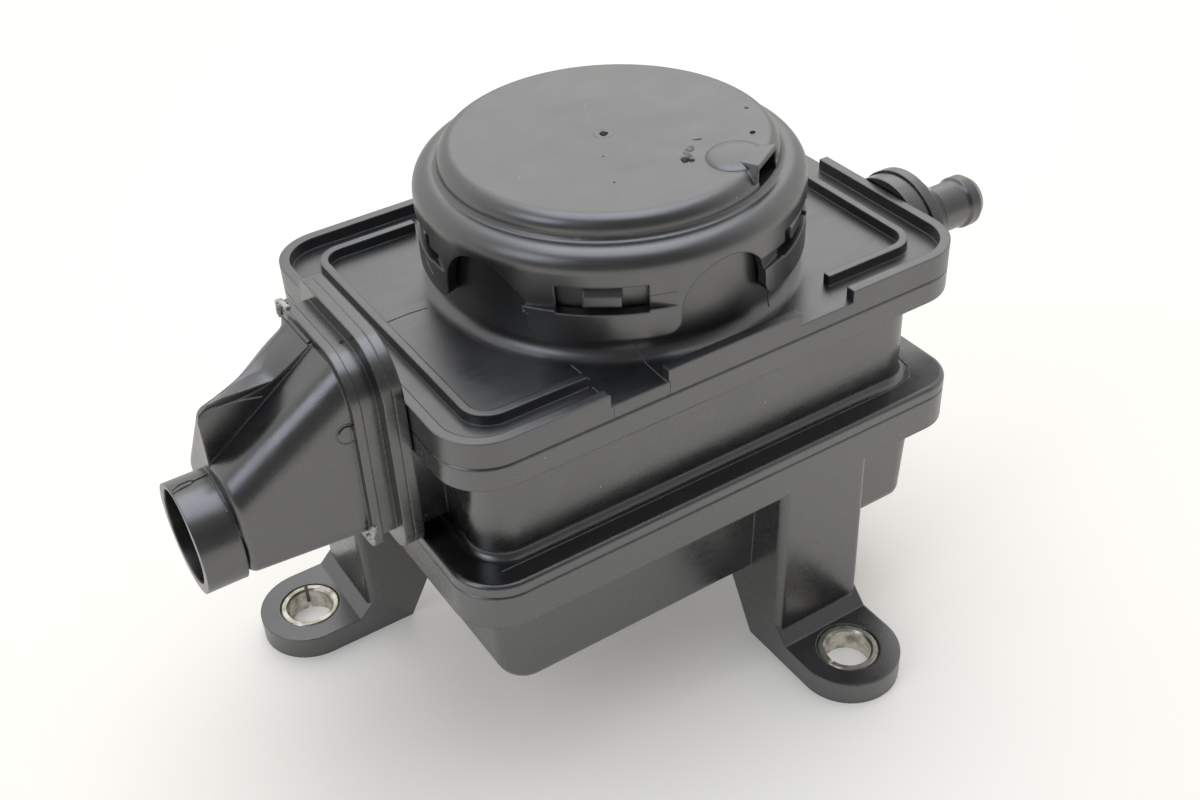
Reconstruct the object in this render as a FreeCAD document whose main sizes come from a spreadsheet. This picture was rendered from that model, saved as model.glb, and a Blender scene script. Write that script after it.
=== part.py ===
import FreeCAD, Part
import math
import os
import Sketcher

# Oil separator of an engine's crankcase ventilation, with its pressure regulator
# under a clipped cap: three welded mouldings, an inlet duct, an outlet nipple and
# three feet with split steel bushes. Millimetres, +Z up, feet on Z = 0. The long
# side lies along X with the inlet at -X, and the front wall faces -Y.

SIZES = [
    # casing outline and heights
    ("flange_length", 100.0),
    ("flange_corner", 9.0),
    ("base_over", 1.6),
    ("base_corner", 7.5),
    ("floor_height", 16.0),
    ("sump_depth", 24.7),
    ("sump_flange", 6.9),
    ("base_flange", 2.2),
    ("wall_height", 19.8),
    ("head_flange", 4.4),
    ("cover_plate", 2.4),
    ("rim_height", 2.2),
    ("rim_width", 1.8),
    ("weld_groove", 0.45),
    ("flange_round", 0.9),
    # walls
    ("wall_inset", 5.65),
    ("wall_thickness", 2.4),
    ("wall_corner", 6.0),
    ("wall_foot_round", 1.6),
    ("sump_inset", 7.6),
    ("sump_end_inset", 1.4),
    ("sump_draft", 3.0),
    ("sump_wall", 2.2),
    ("sump_corner", 6.5),
    ("sump_end_corner", 4.6),
    ("sump_edge_round", 2.9),
    # ribs of the cover
    ("rib_inset", 6.3),
    ("rib_width", 1.4),
    ("rib_height", 1.9),
    ("rib_corner", 5.0),
    ("front_gap_start", -24.0),
    ("front_gap_end", -13.3),
    ("second_gap_start", 12.6),
    ("second_gap_end", 23.6),
    ("side_gap_start", 2.4),
    ("side_gap_end", 13.0),
    ("gap_cut", 4.0),
    ("gap_lap", 1.0),
    # collar, snap lugs and valve seat of the cover
    ("collar_radius", 30.6),
    ("collar_bore", 27.6),
    ("collar_height", 16.8),
    ("collar_flare", 2.6),
    ("plate_margin", 2.8),
    ("lug_width", 6.0),
    ("lug_reach", 1.7),
    ("lug_bottom", 10.8),
    ("lug_height", 3.4),
    ("seat_radius", 9.0),
    ("seat_bore", 7.0),
    ("seat_height", 7.9),
    ("port_radius", 3.0),
    ("port_circle", 20.5),
    # cap
    ("skirt_gap", 0.4),
    ("skirt_wall", 2.0),
    ("skirt_below_rim", 11.8),
    ("bead_thickness", 1.2),
    ("shoulder_wall", 2.1),
    ("shoulder_round", 3.4),
    ("disc_radius", 28.4),
    ("disc_rise", 3.7),
    ("disc_round", 2.6),
    ("disc_root_round", 0.9),
    ("disc_wall", 2.0),
    ("window_width", 14.4),
    ("window_bottom", 4.7),
    ("window_height", 4.9),
    ("through_cut", 8.0),
    ("ramp_length", 7.5),
    ("short_ramp_length", 4.8),
    ("ramp_depth", 1.2),
    ("ramp_run", 0.15),
    ("ramp_lift", 0.4),
    ("ramp_height", 2.5),
    ("arch_radius", 8.2),
    ("arch_top", 11.2),
    ("tab_round", 2.4),
    ("cap_turn", -53.5),
    ("hood_turn", -5.5),
    ("hood_width", 10.6),
    ("hood_start", 20.0),
    ("hood_rise", 1.3),
    ("hood_root", 1.5),
    ("hood_inset", 0.4),
    ("hood_lip", 1.0),
    ("nose_width", 4.6),
    ("nose_drop", 0.15),
    ("mouth_width", 7.4),
    ("mouth_depth", 3.2),
    # regulator
    ("regulator_travel", 4.0),
    ("seat_margin", 0.3),
    ("plate_radius", 15.0),
    ("plate_thickness", 1.5),
    ("hub_radius", 5.0),
    ("hub_rise", 1.4),
    ("rubber_gap", 0.2),
    ("rubber_thickness", 0.9),
    ("rubber_hole_gap", 0.3),
    ("bead_width", 2.2),
    ("spring_radius", 11.4),
    ("spring_wire", 1.2),
    ("spring_turns", 4.0),
    ("spring_gap", 0.15),
    # inlet
    ("inlet_y", -5.7),
    ("inlet_half_width", 14.3),
    ("inlet_bottom", 49.6),
    ("inlet_top", 88.4),
    ("inlet_corner", 9.0),
    ("inlet_low_corner", 4.5),
    ("inlet_rear_corner", 2.4),
    ("inlet_lip", 1.7),
    ("inlet_gap", 0.25),
    ("frame_flange", 1.7),
    ("frame_band", 2.9),
    ("frame_step", 2.6),
    ("duct_lip", 1.5),
    ("duct_lip_step", 1.6),
    ("duct_step", 3.2),
    ("duct_foot", 4.2),
    ("duct_length", 19.5),
    ("duct_wall", 2.0),
    ("duct_end_half_width", 9.4),
    ("duct_end_top", 70.7),
    ("duct_corner", 6.0),
    ("duct_low_round", 3.0),
    ("duct_tip_round", 1.6),
    ("duct_parting", 0.3),
    ("spigot_radius", 9.3),
    ("spigot_bore", 7.6),
    ("spigot_length", 6.6),
    ("spigot_back", 1.4),
    ("throat_bore", 6.4),
    ("throat_rise", 2.4),
    ("spigot_height", 59.1),
    ("crest_top", 81.3),
    ("crest_start", 7.0),
    ("crest_round", 2.4),
    ("crest_overlap", 2.0),
    ("crest_edge", 2.4),
    ("mid_side", 11.7),
    ("mid_knee", 75.6),
    ("mid_ridge", 5.4),
    ("mid_ridge_top", 82.5),
    ("tip_side", 12.9),
    ("tip_knee", 64.5),
    ("tip_ridge", 1.8),
    ("tip_ridge_drop", 1.5),
    ("neck_half_width", 11.0),
    ("neck_bottom", 52.0),
    ("neck_wall", 2.2),
    # outlet
    ("outlet_y", -13.8),
    ("outlet_height", 69.7),
    ("boss_radius", 10.4),
    ("boss_reach", 3.4),
    ("outlet_disc_radius", 10.8),
    ("outlet_disc", 2.4),
    ("outlet_cone_radius", 10.2),
    ("outlet_cone", 6.2),
    ("nipple_radius", 4.5),
    ("nipple_bead", 0.45),
    ("nipple_bead_length", 3.85),
    ("nipple_nose", 1.4),
    ("nipple_length", 9.4),
    ("nipple_bore", 2.9),
    # feet
    ("foot_thickness", 4.8),
    ("foot_radius", 9.7),
    ("foot_reach", 8.9),
    ("foot_heel", 8.5),
    ("leg_width", 19.4),
    ("leg_slope", 10.5),
    ("leg_edge_round", 1.6),
    ("leg_toe_round", 2.2),
    ("front_foot_x", 20.4),
    ("rear_foot_x", 20.4),
    ("left_foot_inset", 11.0),
    ("bush_radius", 5.9),
    ("bush_bore", 4.3),
    ("bush_slit", 0.7),
    ("bush_chamfer", 0.4),
    ("bush_fit", 0.02),
    ("front_slit_turn", 190.0),
    ("left_slit_turn", 75.0),
    ("rear_slit_turn", 60.0),
    # insert between sump and housing
    ("insert_gap", 0.35),
    ("insert_plate", 1.8),
    ("baffle_wall", 1.6),
    ("baffle_height", 14.0),
    ("baffle_gap", 8.0),
    ("baffle_x", -16.0),
    ("nozzle_radius", 2.0),
    ("nozzle_x", 12.0),
    # drain
    ("drain_radius", 6.0),
    ("drain_bore", 4.4),
    ("drain_length", 8.0),
    ("drain_port", 0.9),
    ("drain_port_circle", 2.5),
    ("stem_radius", 1.3),
    ("stem_gap", 0.05),
    ("umbrella_radius", 3.9),
    ("umbrella_thickness", 0.8),
    ("stem_head_radius", 1.9),
    ("stem_head", 1.0),
]

doc = FreeCAD.newDocument("oil_separator")
dims = doc.addObject("Spreadsheet::Sheet", "dims")


class Size:
    """A length together with the sheet expression that drives it."""

    def __init__(self, text, value):
        self.text = text
        self.value = value

    def join(self, sign, other, value):
        text = other.text if isinstance(other, Size) else repr(float(other))
        return Size("(%s %s %s)" % (self.text, sign, text), value)

    def __add__(self, other):
        return self.join("+", other, self.value + amount(other))

    def __sub__(self, other):
        return self.join("-", other, self.value - amount(other))

    def __mul__(self, other):
        return self.join("*", other, self.value * amount(other))

    def __truediv__(self, other):
        return self.join("/", other, self.value / amount(other))

    def __neg__(self):
        return Size("(-1 * %s)" % self.text, -self.value)

    def root(self):
        return Size("sqrt(%s)" % self.text, math.sqrt(self.value))

    def sine(self):
        return Size("sin(%s * 1 deg)" % self.text, math.sin(math.radians(self.value)))

    def cosine(self):
        return Size("cos(%s * 1 deg)" % self.text, math.cos(math.radians(self.value)))


def amount(other):
    return other.value if isinstance(other, Size) else float(other)


class Sizes:
    pass


d = Sizes()
for row, (alias, number) in enumerate(SIZES, start=1):
    dims.set("A%d" % row, alias)
    dims.set("B%d" % row, str(number))
    dims.setAlias("B%d" % row, alias)
    setattr(d, alias, Size("dims.%s" % alias, number))
doc.recompute()

V = FreeCAD.Vector
bodies = []


def bind(target, path, size):
    target.setExpression(path, size.text)


def make_body(label, x=None, y=None, z=None, turn=None):
    """A sub-part with its own placement, set off from the part's datum."""
    body = doc.addObject("PartDesign::Body", label)
    body.Label = label
    if turn is not None:
        body.Placement = FreeCAD.Placement(V(0, 0, 0), FreeCAD.Rotation(V(0, 0, 1), turn.value))
        bind(body, "Placement.Rotation.Angle", turn)
    bind(body, "Placement.Base.x", (x - datum_x) if x is not None else -datum_x)
    if y is not None:
        bind(body, "Placement.Base.y", y)
    if z is not None:
        bind(body, "Placement.Base.z", z)
    bodies.append(body)
    return body


def lay(body, name, plane, offset=None, turn=None):
    """A sketch on one of the body's origin planes, moved along its normal."""
    sketch = body.newObject("Sketcher::SketchObject", name)
    for feature in body.Origin.OriginFeatures:
        if feature.Role == plane:
            sketch.AttachmentSupport = [(feature, "")]
    sketch.MapMode = "FlatFace"
    if turn is not None:
        spin = FreeCAD.Rotation(V(0, 1, 0), turn.value)
        sketch.AttachmentOffset = FreeCAD.Placement(V(0, 0, 0), spin)
        bind(sketch, "AttachmentOffset.Rotation.Angle", turn)
    if offset is not None:
        bind(sketch, "AttachmentOffset.Base.z", offset)
    return sketch


def pin(sketch, geo, pos, x, y):
    """Ties a point of the sketch to its two coordinates."""
    for axis, kind, size in ((-2, "DistanceX", x), (-1, "DistanceY", y)):
        if isinstance(size, Size):
            row = sketch.addConstraint(Sketcher.Constraint(kind, -1, 1, geo, pos, size.value))
            bind(sketch, "Constraints[%d]" % row, size)
        else:
            sketch.addConstraint(Sketcher.Constraint("PointOnObject", geo, pos, axis))


def polygon(sketch, corners):
    """A closed outline of straight runs, each corner tied to the sheet."""
    points = [V(amount(x), amount(y), 0) for x, y in corners]
    count = len(points)
    first = sketch.GeometryCount
    for i in range(count):
        sketch.addGeometry(Part.LineSegment(points[i], points[(i + 1) % count]), False)
    for i in range(count):
        after = first + (i + 1) % count
        sketch.addConstraint(Sketcher.Constraint("Coincident", first + i, 2, after, 1))
    for i, (x, y) in enumerate(corners):
        pin(sketch, first + i, 1, x, y)


def circle(sketch, x, y, radius):
    round_edge = Part.Circle(V(amount(x), amount(y), 0), V(0, 0, 1), radius.value)
    geo = sketch.addGeometry(round_edge, False)
    row = sketch.addConstraint(Sketcher.Constraint("Radius", geo, radius.value))
    bind(sketch, "Constraints[%d]" % row, radius)
    pin(sketch, geo, 3, x, y)


def rounded(sketch, left, right, low, high, corner):
    """A rectangle with round corners: one radius, or four from the low right one on."""
    x0, x1, y0, y1 = left.value, right.value, low.value, high.value
    corners = corner if isinstance(corner, tuple) else (corner,) * 4
    r0, r1, r2, r3 = (size.value for size in corners)
    quarter = math.pi / 2
    runs = [
        (V(x0 + r3, y0, 0), V(x1 - r0, y0, 0)),
        (V(x1, y0 + r0, 0), V(x1, y1 - r1, 0)),
        (V(x1 - r1, y1, 0), V(x0 + r2, y1, 0)),
        (V(x0, y1 - r2, 0), V(x0, y0 + r3, 0)),
    ]
    turns = [
        (V(x1 - r0, y0 + r0, 0), r0, -quarter),
        (V(x1 - r1, y1 - r1, 0), r1, 0.0),
        (V(x0 + r2, y1 - r2, 0), r2, quarter),
        (V(x0 + r3, y0 + r3, 0), r3, 2 * quarter),
    ]
    first = sketch.GeometryCount
    for i in range(4):
        sketch.addGeometry(Part.LineSegment(*runs[i]), False)
        centre, radius, start = turns[i]
        bend = Part.Circle(centre, V(0, 0, 1), radius)
        sketch.addGeometry(Part.ArcOfCircle(bend, start, start + quarter), False)
    for i in range(4):
        line, arc = first + 2 * i, first + 2 * i + 1
        after = first + (2 * i + 2) % 8
        sketch.addConstraint(Sketcher.Constraint("Tangent", line, 2, arc, 1))
        sketch.addConstraint(Sketcher.Constraint("Tangent", arc, 2, after, 1))
        sketch.addConstraint(Sketcher.Constraint("Vertical" if i % 2 else "Horizontal", line))
        row = sketch.addConstraint(Sketcher.Constraint("Radius", arc, corners[i].value))
        bind(sketch, "Constraints[%d]" % row, corners[i])
    sides = [("DistanceY", low), ("DistanceX", right), ("DistanceY", high), ("DistanceX", left)]
    for i, (kind, size) in enumerate(sides):
        step = 2 * i
        row = sketch.addConstraint(Sketcher.Constraint(kind, -1, 1, first + step, 1, size.value))
        bind(sketch, "Constraints[%d]" % row, size)


def grow(body, sketch, length, back=False, taper=None):
    """A pad along the sketch's normal, or against it."""
    feature = body.newObject("PartDesign::Pad", sketch.Name + "_pad")
    feature.Profile = sketch
    bind(feature, "Length", length)
    feature.Reversed = back
    if taper is not None:
        bind(feature, "TaperAngle", taper)
    doc.recompute()
    return feature


def cut(body, sketch, length, ahead=False, taper=None):
    """A pocket against the sketch's normal, or along it, that must remove material."""
    before = body.Shape.Volume
    feature = body.newObject("PartDesign::Pocket", sketch.Name + "_cut")
    feature.Profile = sketch
    bind(feature, "Length", length)
    feature.Reversed = ahead
    if taper is not None:
        bind(feature, "TaperAngle", taper)
    doc.recompute()
    if not body.Shape.Volume < before:
        raise RuntimeError(sketch.Name + " cuts nothing")
    return feature


def turn_round(body, sketch, kind="PartDesign::Revolution"):
    """The sketch turned about its vertical axis."""
    feature = body.newObject(kind, sketch.Name + "_turned")
    feature.Profile = sketch
    feature.ReferenceAxis = (sketch, ["V_Axis"])
    feature.Angle = 360
    doc.recompute()
    return feature


def skin(body, first, *others, kind="PartDesign::AdditiveLoft", ruled=True):
    feature = body.newObject(kind, first.Name + "_loft")
    feature.Profile = first
    feature.Sections = list(others)
    feature.Ruled = ruled
    doc.recompute()
    return feature


def ring(body, feature, count):
    """Copies of a feature round the body's Z axis."""
    pattern = body.newObject("PartDesign::PolarPattern", feature.Name + "_ring")
    pattern.Originals = [feature]
    for axis in body.Origin.OriginFeatures:
        if axis.Role == "Z_Axis":
            pattern.Axis = (axis, [""])
    pattern.Angle = 360
    pattern.Occurrences = count
    body.Tip = pattern
    doc.recompute()
    return pattern


def smooth(body, radius, test, name, kind="PartDesign::Fillet"):
    """A fillet or chamfer along the edges that the test picks."""
    base = body.Tip
    picked = ["Edge%d" % (i + 1) for i, edge in enumerate(base.Shape.Edges) if test(edge)]
    if not picked:
        raise RuntimeError(name + " finds no edge")
    feature = body.newObject(kind, name)
    feature.Base = (base, picked)
    bind(feature, "Radius" if kind.endswith("Fillet") else "Size", radius)
    doc.recompute()
    if "Invalid" in feature.State:
        raise RuntimeError(name + " can't be made")
    return feature


slack = 0.02


def near(a, b):
    return abs(a - b) < slack


def ends(edge):
    return [vertex.Point for vertex in edge.Vertexes]


# how many copies go round the axis
clip_count = 5
gas_port_count = 6
nozzle_count = 6
drain_port_count = 4

# heights and outline that several pieces share
half_length = d.flange_length / 2
half_width = d.collar_radius + d.collar_flare + d.plate_margin
base_end = half_length + d.base_over
base_corners = (d.base_corner, d.base_corner, d.flange_corner, d.flange_corner)
sump_seat = d.floor_height + d.sump_depth
sump_seam = sump_seat + d.sump_flange
wall_foot = sump_seam + d.base_flange
head_seat = wall_foot + d.wall_height
cover_seam = head_seat + d.head_flange
plate_top = cover_seam + d.cover_plate
rim_top = plate_top + d.rim_height
wall_x = half_length - d.wall_inset
wall_y = half_width - d.wall_inset
room_x = wall_x - d.wall_thickness
room_y = wall_y - d.wall_thickness
room_corner = d.wall_corner - d.wall_thickness
collar_top = plate_top + d.collar_height

# inlet stations along -X
inlet_back = half_length + d.inlet_gap
inlet_seam = inlet_back + d.inlet_lip
frame_front = inlet_seam + d.frame_flange
band_front = frame_front + d.frame_band
duct_front = band_front + d.duct_lip
duct_end = duct_front + d.duct_length
spigot_end = duct_end + d.spigot_length
inlet_from = d.inlet_y - d.inlet_half_width
inlet_to = d.inlet_y + d.inlet_half_width
inlet_corners = (d.inlet_rear_corner, d.inlet_rear_corner, d.inlet_corner, d.inlet_low_corner)

# outlet stations along +X
boss_back = half_length + d.inlet_gap
boss_face = boss_back + d.boss_reach
disc_face = boss_face + d.outlet_disc
cone_face = disc_face + d.outlet_cone
nipple_end = cone_face + d.nipple_length

# foot centres, and the datum at the middle of the whole length
foot_y = half_width + d.foot_reach
left_foot_y = half_width - d.left_foot_inset
foot_x = half_length + d.foot_reach
datum_x = (nipple_end - spigot_end) / 2

# sump: welding flange, drafted tray, three legs with eyes and a drain stub
sump = make_body("sump_tray")
sk = lay(sump, "sump_flange_outline", "XY_Plane", sump_seat)
rounded(sk, -half_length, base_end, -half_width, half_width, base_corners)
grow(sump, sk, d.sump_flange)


def outline_at(level):
    def test(edge):
        return all(near(p.z, level.value) for p in ends(edge))
    return test


smooth(sump, d.weld_groove, outline_at(sump_seam), "sump_weld_groove", "PartDesign::Chamfer")
sk = lay(sump, "sump_walls", "XY_Plane", sump_seat)
sump_x = half_length - d.sump_inset
sump_y = half_width - d.sump_inset
sump_end = base_end - d.sump_end_inset
sump_corners = (d.sump_end_corner, d.sump_end_corner, d.sump_corner, d.sump_corner)
rounded(sk, -sump_x, sump_end, -sump_y, sump_y, sump_corners)
grow(sump, sk, d.sump_depth, back=True, taper=-d.sump_draft)


def low_edge(edge):
    return all(near(p.z, d.floor_height.value) for p in ends(edge))


smooth(sump, d.sump_edge_round, low_edge, "sump_bottom_round")

# legs: a side profile across the long side, and one across the short side
leg_root = sump_seat + d.sump_flange / 2


def leg_profile(face, sign):
    """Outer face, sole, heel and the slope that runs up under the tray."""
    heel = face - d.foot_heel
    inner = heel - d.leg_slope
    rise = d.floor_height + d.sump_edge_round
    toe = face + d.leg_toe_round
    corners = [
        (face, leg_root),
        (face, d.foot_thickness + d.leg_toe_round),
        (toe, d.foot_thickness),
        (toe, 0),
        (heel, 0),
        (inner, rise),
        (inner, leg_root),
    ]
    if sign < 0:
        corners = [(-x, y) for x, y in corners]
    return corners


half_leg = d.leg_width / 2
for name, sign, centre in (("front", -1, d.front_foot_x), ("rear", 1, d.rear_foot_x)):
    sk = lay(sump, name + "_leg", "YZ_Plane", centre - half_leg)
    polygon(sk, leg_profile(half_width, sign))
    grow(sump, sk, d.leg_width)
sk = lay(sump, "left_leg", "XZ_Plane", -left_foot_y - half_leg)
polygon(sk, leg_profile(half_length, -1))
grow(sump, sk, d.leg_width)


def leg_corner(edge):
    if len(edge.Vertexes) != 2:
        return False
    a, b = ends(edge)
    upright = near(a.x, b.x) and near(a.y, b.y) and min(a.z, b.z) < d.floor_height.value
    long_side = abs(a.x - d.front_foot_x.value)
    short_side = abs(a.y - left_foot_y.value)
    on_long = near(abs(a.y), half_width.value) and near(long_side, half_leg.value)
    on_short = near(a.x, -half_length.value) and near(short_side, half_leg.value)
    return upright and (on_long or on_short)


smooth(sump, d.leg_edge_round, leg_corner, "leg_edge_rounds")

# eyes of the feet, with their sockets for the bushes
for name, x, y in (
    ("front", d.front_foot_x, -foot_y),
    ("rear", d.rear_foot_x, foot_y),
    ("left", -foot_x, left_foot_y),
):
    sk = lay(sump, name + "_sole", "XY_Plane")
    x0, x1 = x - d.foot_radius, x + d.foot_radius
    y0, y1 = y - d.foot_radius, y + d.foot_radius
    if name == "front":
        y0, y1 = y, -half_width + d.foot_heel
    if name == "rear":
        y0, y1 = half_width - d.foot_heel, y
    if name == "left":
        x0, x1 = x, -half_length + d.foot_heel
    polygon(sk, [(x0, y0), (x1, y0), (x1, y1), (x0, y1)])
    grow(sump, sk, d.foot_thickness)
    sk = lay(sump, name + "_eye", "XY_Plane")
    circle(sk, x, y, d.foot_radius)
    grow(sump, sk, d.foot_thickness)
    sk = lay(sump, name + "_socket", "XY_Plane", d.foot_thickness)
    circle(sk, x, y, d.bush_radius + d.bush_fit)
    cut(sump, sk, d.foot_thickness)


# hollow of the tray, drawn in by its wall, and the drain stub under its floor
sk = lay(sump, "sump_hollow", "XY_Plane", sump_seam)
hollow_x = sump_x - d.sump_wall
hollow_y = sump_y - d.sump_wall
hollow_end = sump_end - d.sump_wall
hollow_corners = tuple(size - d.sump_wall for size in sump_corners)
rounded(sk, -hollow_x, hollow_end, -hollow_y, hollow_y, hollow_corners)
cut(sump, sk, d.sump_flange + d.sump_depth - d.sump_wall, taper=-d.sump_draft)
sk = lay(sump, "drain_stub", "XY_Plane", d.floor_height + d.sump_wall / 2)
circle(sk, 0, 0, d.drain_radius)
grow(sump, sk, d.drain_length + d.sump_wall / 2, back=True)
sk = lay(sump, "drain_bore", "XY_Plane", d.floor_height)
circle(sk, 0, 0, d.drain_bore)
cut(sump, sk, d.drain_length)
sk = lay(sump, "drain_stem_hole", "XY_Plane", d.floor_height + d.sump_wall)
circle(sk, 0, 0, d.stem_radius + d.stem_gap)
cut(sump, sk, d.sump_wall)
sk = lay(sump, "drain_port", "XY_Plane", d.floor_height + d.sump_wall)
circle(sk, d.drain_port_circle, 0, d.drain_port)
port = cut(sump, sk, d.sump_wall)
ring(sump, port, drain_port_count)

# rubber umbrella that closes the drain from below
drain = make_body("drain_valve")
sk = lay(drain, "umbrella_profile", "XZ_Plane")
umbrella_top = d.floor_height
head_foot = d.floor_height + d.sump_wall
polygon(sk, [
    (0, umbrella_top - d.umbrella_thickness),
    (d.umbrella_radius, umbrella_top - d.umbrella_thickness / 2),
    (d.umbrella_radius, umbrella_top),
    (d.stem_radius, umbrella_top),
    (d.stem_radius, head_foot),
    (d.stem_head_radius, head_foot),
    (d.stem_radius, head_foot + d.stem_head),
    (0, head_foot + d.stem_head),
])
turn_round(drain, sk)

# split steel bushes of the feet
for name, x, y, spin in (
    ("front", d.front_foot_x, -foot_y, d.front_slit_turn),
    ("left", -foot_x, left_foot_y, d.left_slit_turn),
    ("rear", d.rear_foot_x, foot_y, d.rear_slit_turn),
):
    bush = make_body("foot_bush_" + name, x, y, turn=spin)
    sk = lay(bush, name + "_bush_profile", "XZ_Plane")
    inner = d.bush_bore
    outer = d.bush_radius
    lift = d.foot_thickness
    polygon(sk, [
        (inner, 0),
        (outer - d.bush_chamfer, 0),
        (outer, d.bush_chamfer),
        (outer, lift - d.bush_chamfer),
        (outer - d.bush_chamfer, lift),
        (inner + d.bush_chamfer, lift),
        (inner, lift - d.bush_chamfer),
    ])
    turn_round(bush, sk)
    sk = lay(bush, name + "_bush_slit", "YZ_Plane")
    polygon(sk, [
        (-d.bush_slit / 2, 0),
        (d.bush_slit / 2, 0),
        (d.bush_slit / 2, lift),
        (-d.bush_slit / 2, lift),
    ])
    cut(bush, sk, d.bush_radius, ahead=True)

# housing: two welding flanges, the walls, the inlet neck and the outlet boss
housing = make_body("separator_housing")
sk = lay(housing, "base_flange_outline", "XY_Plane", sump_seam)
rounded(sk, -half_length, base_end, -half_width, half_width, base_corners)
grow(housing, sk, d.base_flange)
smooth(housing, d.flange_round, outline_at(wall_foot), "base_flange_round")
sk = lay(housing, "housing_walls", "XY_Plane", wall_foot)
rounded(sk, -wall_x, wall_x, -wall_y, wall_y, d.wall_corner)
grow(housing, sk, d.wall_height)
sk = lay(housing, "head_flange_outline", "XY_Plane", head_seat)
rounded(sk, -half_length, half_length, -half_width, half_width, d.flange_corner)
grow(housing, sk, d.head_flange)
smooth(housing, d.weld_groove, outline_at(cover_seam), "head_weld_groove", "PartDesign::Chamfer")


def wall_root(edge):
    level = all(near(p.z, wall_foot.value) for p in ends(edge))
    wide = max(abs(p.x) for p in ends(edge))
    deep = max(abs(p.y) for p in ends(edge))
    return level and wide < wall_x.value + slack and deep < wall_y.value + slack


smooth(housing, d.wall_foot_round, wall_root, "wall_root_round")

neck_top = head_seat + d.head_flange / 2
sk = lay(housing, "inlet_neck", "YZ_Plane", -inlet_back)
neck_from = d.inlet_y - d.neck_half_width
neck_to = d.inlet_y + d.neck_half_width
polygon(sk, [
    (neck_from, d.neck_bottom),
    (neck_to, d.neck_bottom),
    (neck_to, neck_top),
    (neck_from, neck_top),
])
grow(housing, sk, d.wall_inset + d.inlet_gap + d.wall_thickness / 2)
sk = lay(housing, "inlet_lip", "YZ_Plane", -inlet_back)
rounded(sk, inlet_from, inlet_to, d.inlet_bottom, d.inlet_top, inlet_corners)
grow(housing, sk, d.inlet_lip, back=True)
sk = lay(housing, "outlet_boss", "YZ_Plane", boss_face)
circle(sk, d.outlet_y, d.outlet_height, d.boss_radius)
grow(housing, sk, d.boss_reach + d.inlet_gap + d.wall_inset + d.wall_thickness / 2, back=True)
sk = lay(housing, "cover_clearance", "XY_Plane", cover_seam)
free_from = d.outlet_y - d.outlet_disc_radius - d.gap_cut
free_to = d.outlet_y + d.outlet_disc_radius + d.gap_cut
polygon(sk, [
    (room_x, free_from),
    (boss_back, free_from),
    (boss_back, free_to),
    (room_x, free_to),
])
cut(housing, sk, d.boss_radius * 2, ahead=True)
sk = lay(housing, "housing_room", "XY_Plane", cover_seam)
rounded(sk, -room_x, room_x, -room_y, room_y, room_corner)
cut(housing, sk, d.head_flange + d.wall_height + d.base_flange)
sk = lay(housing, "inlet_opening", "YZ_Plane", -inlet_seam)
opening_from = neck_from + d.neck_wall
opening_to = neck_to - d.neck_wall
opening_top = head_seat - d.neck_wall
polygon(sk, [
    (opening_from, d.neck_bottom + d.neck_wall),
    (opening_to, d.neck_bottom + d.neck_wall),
    (opening_to, opening_top),
    (opening_from, opening_top),
])
neck_run = d.inlet_lip + d.inlet_gap + d.wall_inset + d.wall_thickness
cut(housing, sk, neck_run + d.neck_wall, ahead=True)
sk = lay(housing, "outlet_bore", "YZ_Plane", boss_face)
circle(sk, d.outlet_y, d.outlet_height, d.nipple_bore)
cut(housing, sk, d.boss_reach + d.inlet_gap + d.wall_inset + d.wall_thickness * 2)

# moulded insert: a floor with nozzles and two upright baffles
insert = make_body("separator_insert")
sk = lay(insert, "insert_floor", "XY_Plane", sump_seam)
insert_x = room_x - d.insert_gap
insert_y = room_y - d.insert_gap
rounded(sk, -insert_x, insert_x, -insert_y, insert_y, room_corner)
grow(insert, sk, d.insert_plate)
for name, x, low, high in (
    ("first", d.baffle_x, -insert_y + d.baffle_gap, insert_y - d.baffle_wall),
    ("second", -d.baffle_x, -insert_y + d.baffle_wall, insert_y - d.baffle_gap),
):
    sk = lay(insert, name + "_baffle", "XY_Plane", sump_seam + d.insert_plate / 2)
    polygon(sk, [(x, low), (x + d.baffle_wall, low), (x + d.baffle_wall, high), (x, high)])
    grow(insert, sk, d.baffle_height)
sk = lay(insert, "insert_nozzle", "XY_Plane", sump_seam + d.insert_plate)
circle(sk, d.nozzle_x, 0, d.nozzle_radius)
nozzle = cut(insert, sk, d.insert_plate)
ring(insert, nozzle, nozzle_count)

# cover: plate, interrupted rim and rib, flared collar, snap lugs and valve seat
cover = make_body("top_cover")
sk = lay(cover, "cover_outline", "XY_Plane", cover_seam)
rounded(sk, -half_length, half_length, -half_width, half_width, d.flange_corner)
grow(cover, sk, d.cover_plate)
sk = lay(cover, "cover_rim", "XY_Plane", plate_top)
rounded(sk, -half_length, half_length, -half_width, half_width, d.flange_corner)
rim_x = half_length - d.rim_width
rim_y = half_width - d.rim_width
rounded(sk, -rim_x, rim_x, -rim_y, rim_y, d.flange_corner - d.rim_width)
grow(cover, sk, d.rim_height)
sk = lay(cover, "cover_rib", "XY_Plane", plate_top)
rib_x = half_length - d.rib_inset
rib_y = half_width - d.rib_inset
rounded(sk, -rib_x, rib_x, -rib_y, rib_y, d.rib_corner)
rib_in_x = rib_x - d.rib_width
rib_in_y = rib_y - d.rib_width
rounded(sk, -rib_in_x, rib_in_x, -rib_in_y, rib_in_y, d.rib_corner - d.rib_width)
grow(cover, sk, d.rib_height)

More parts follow.
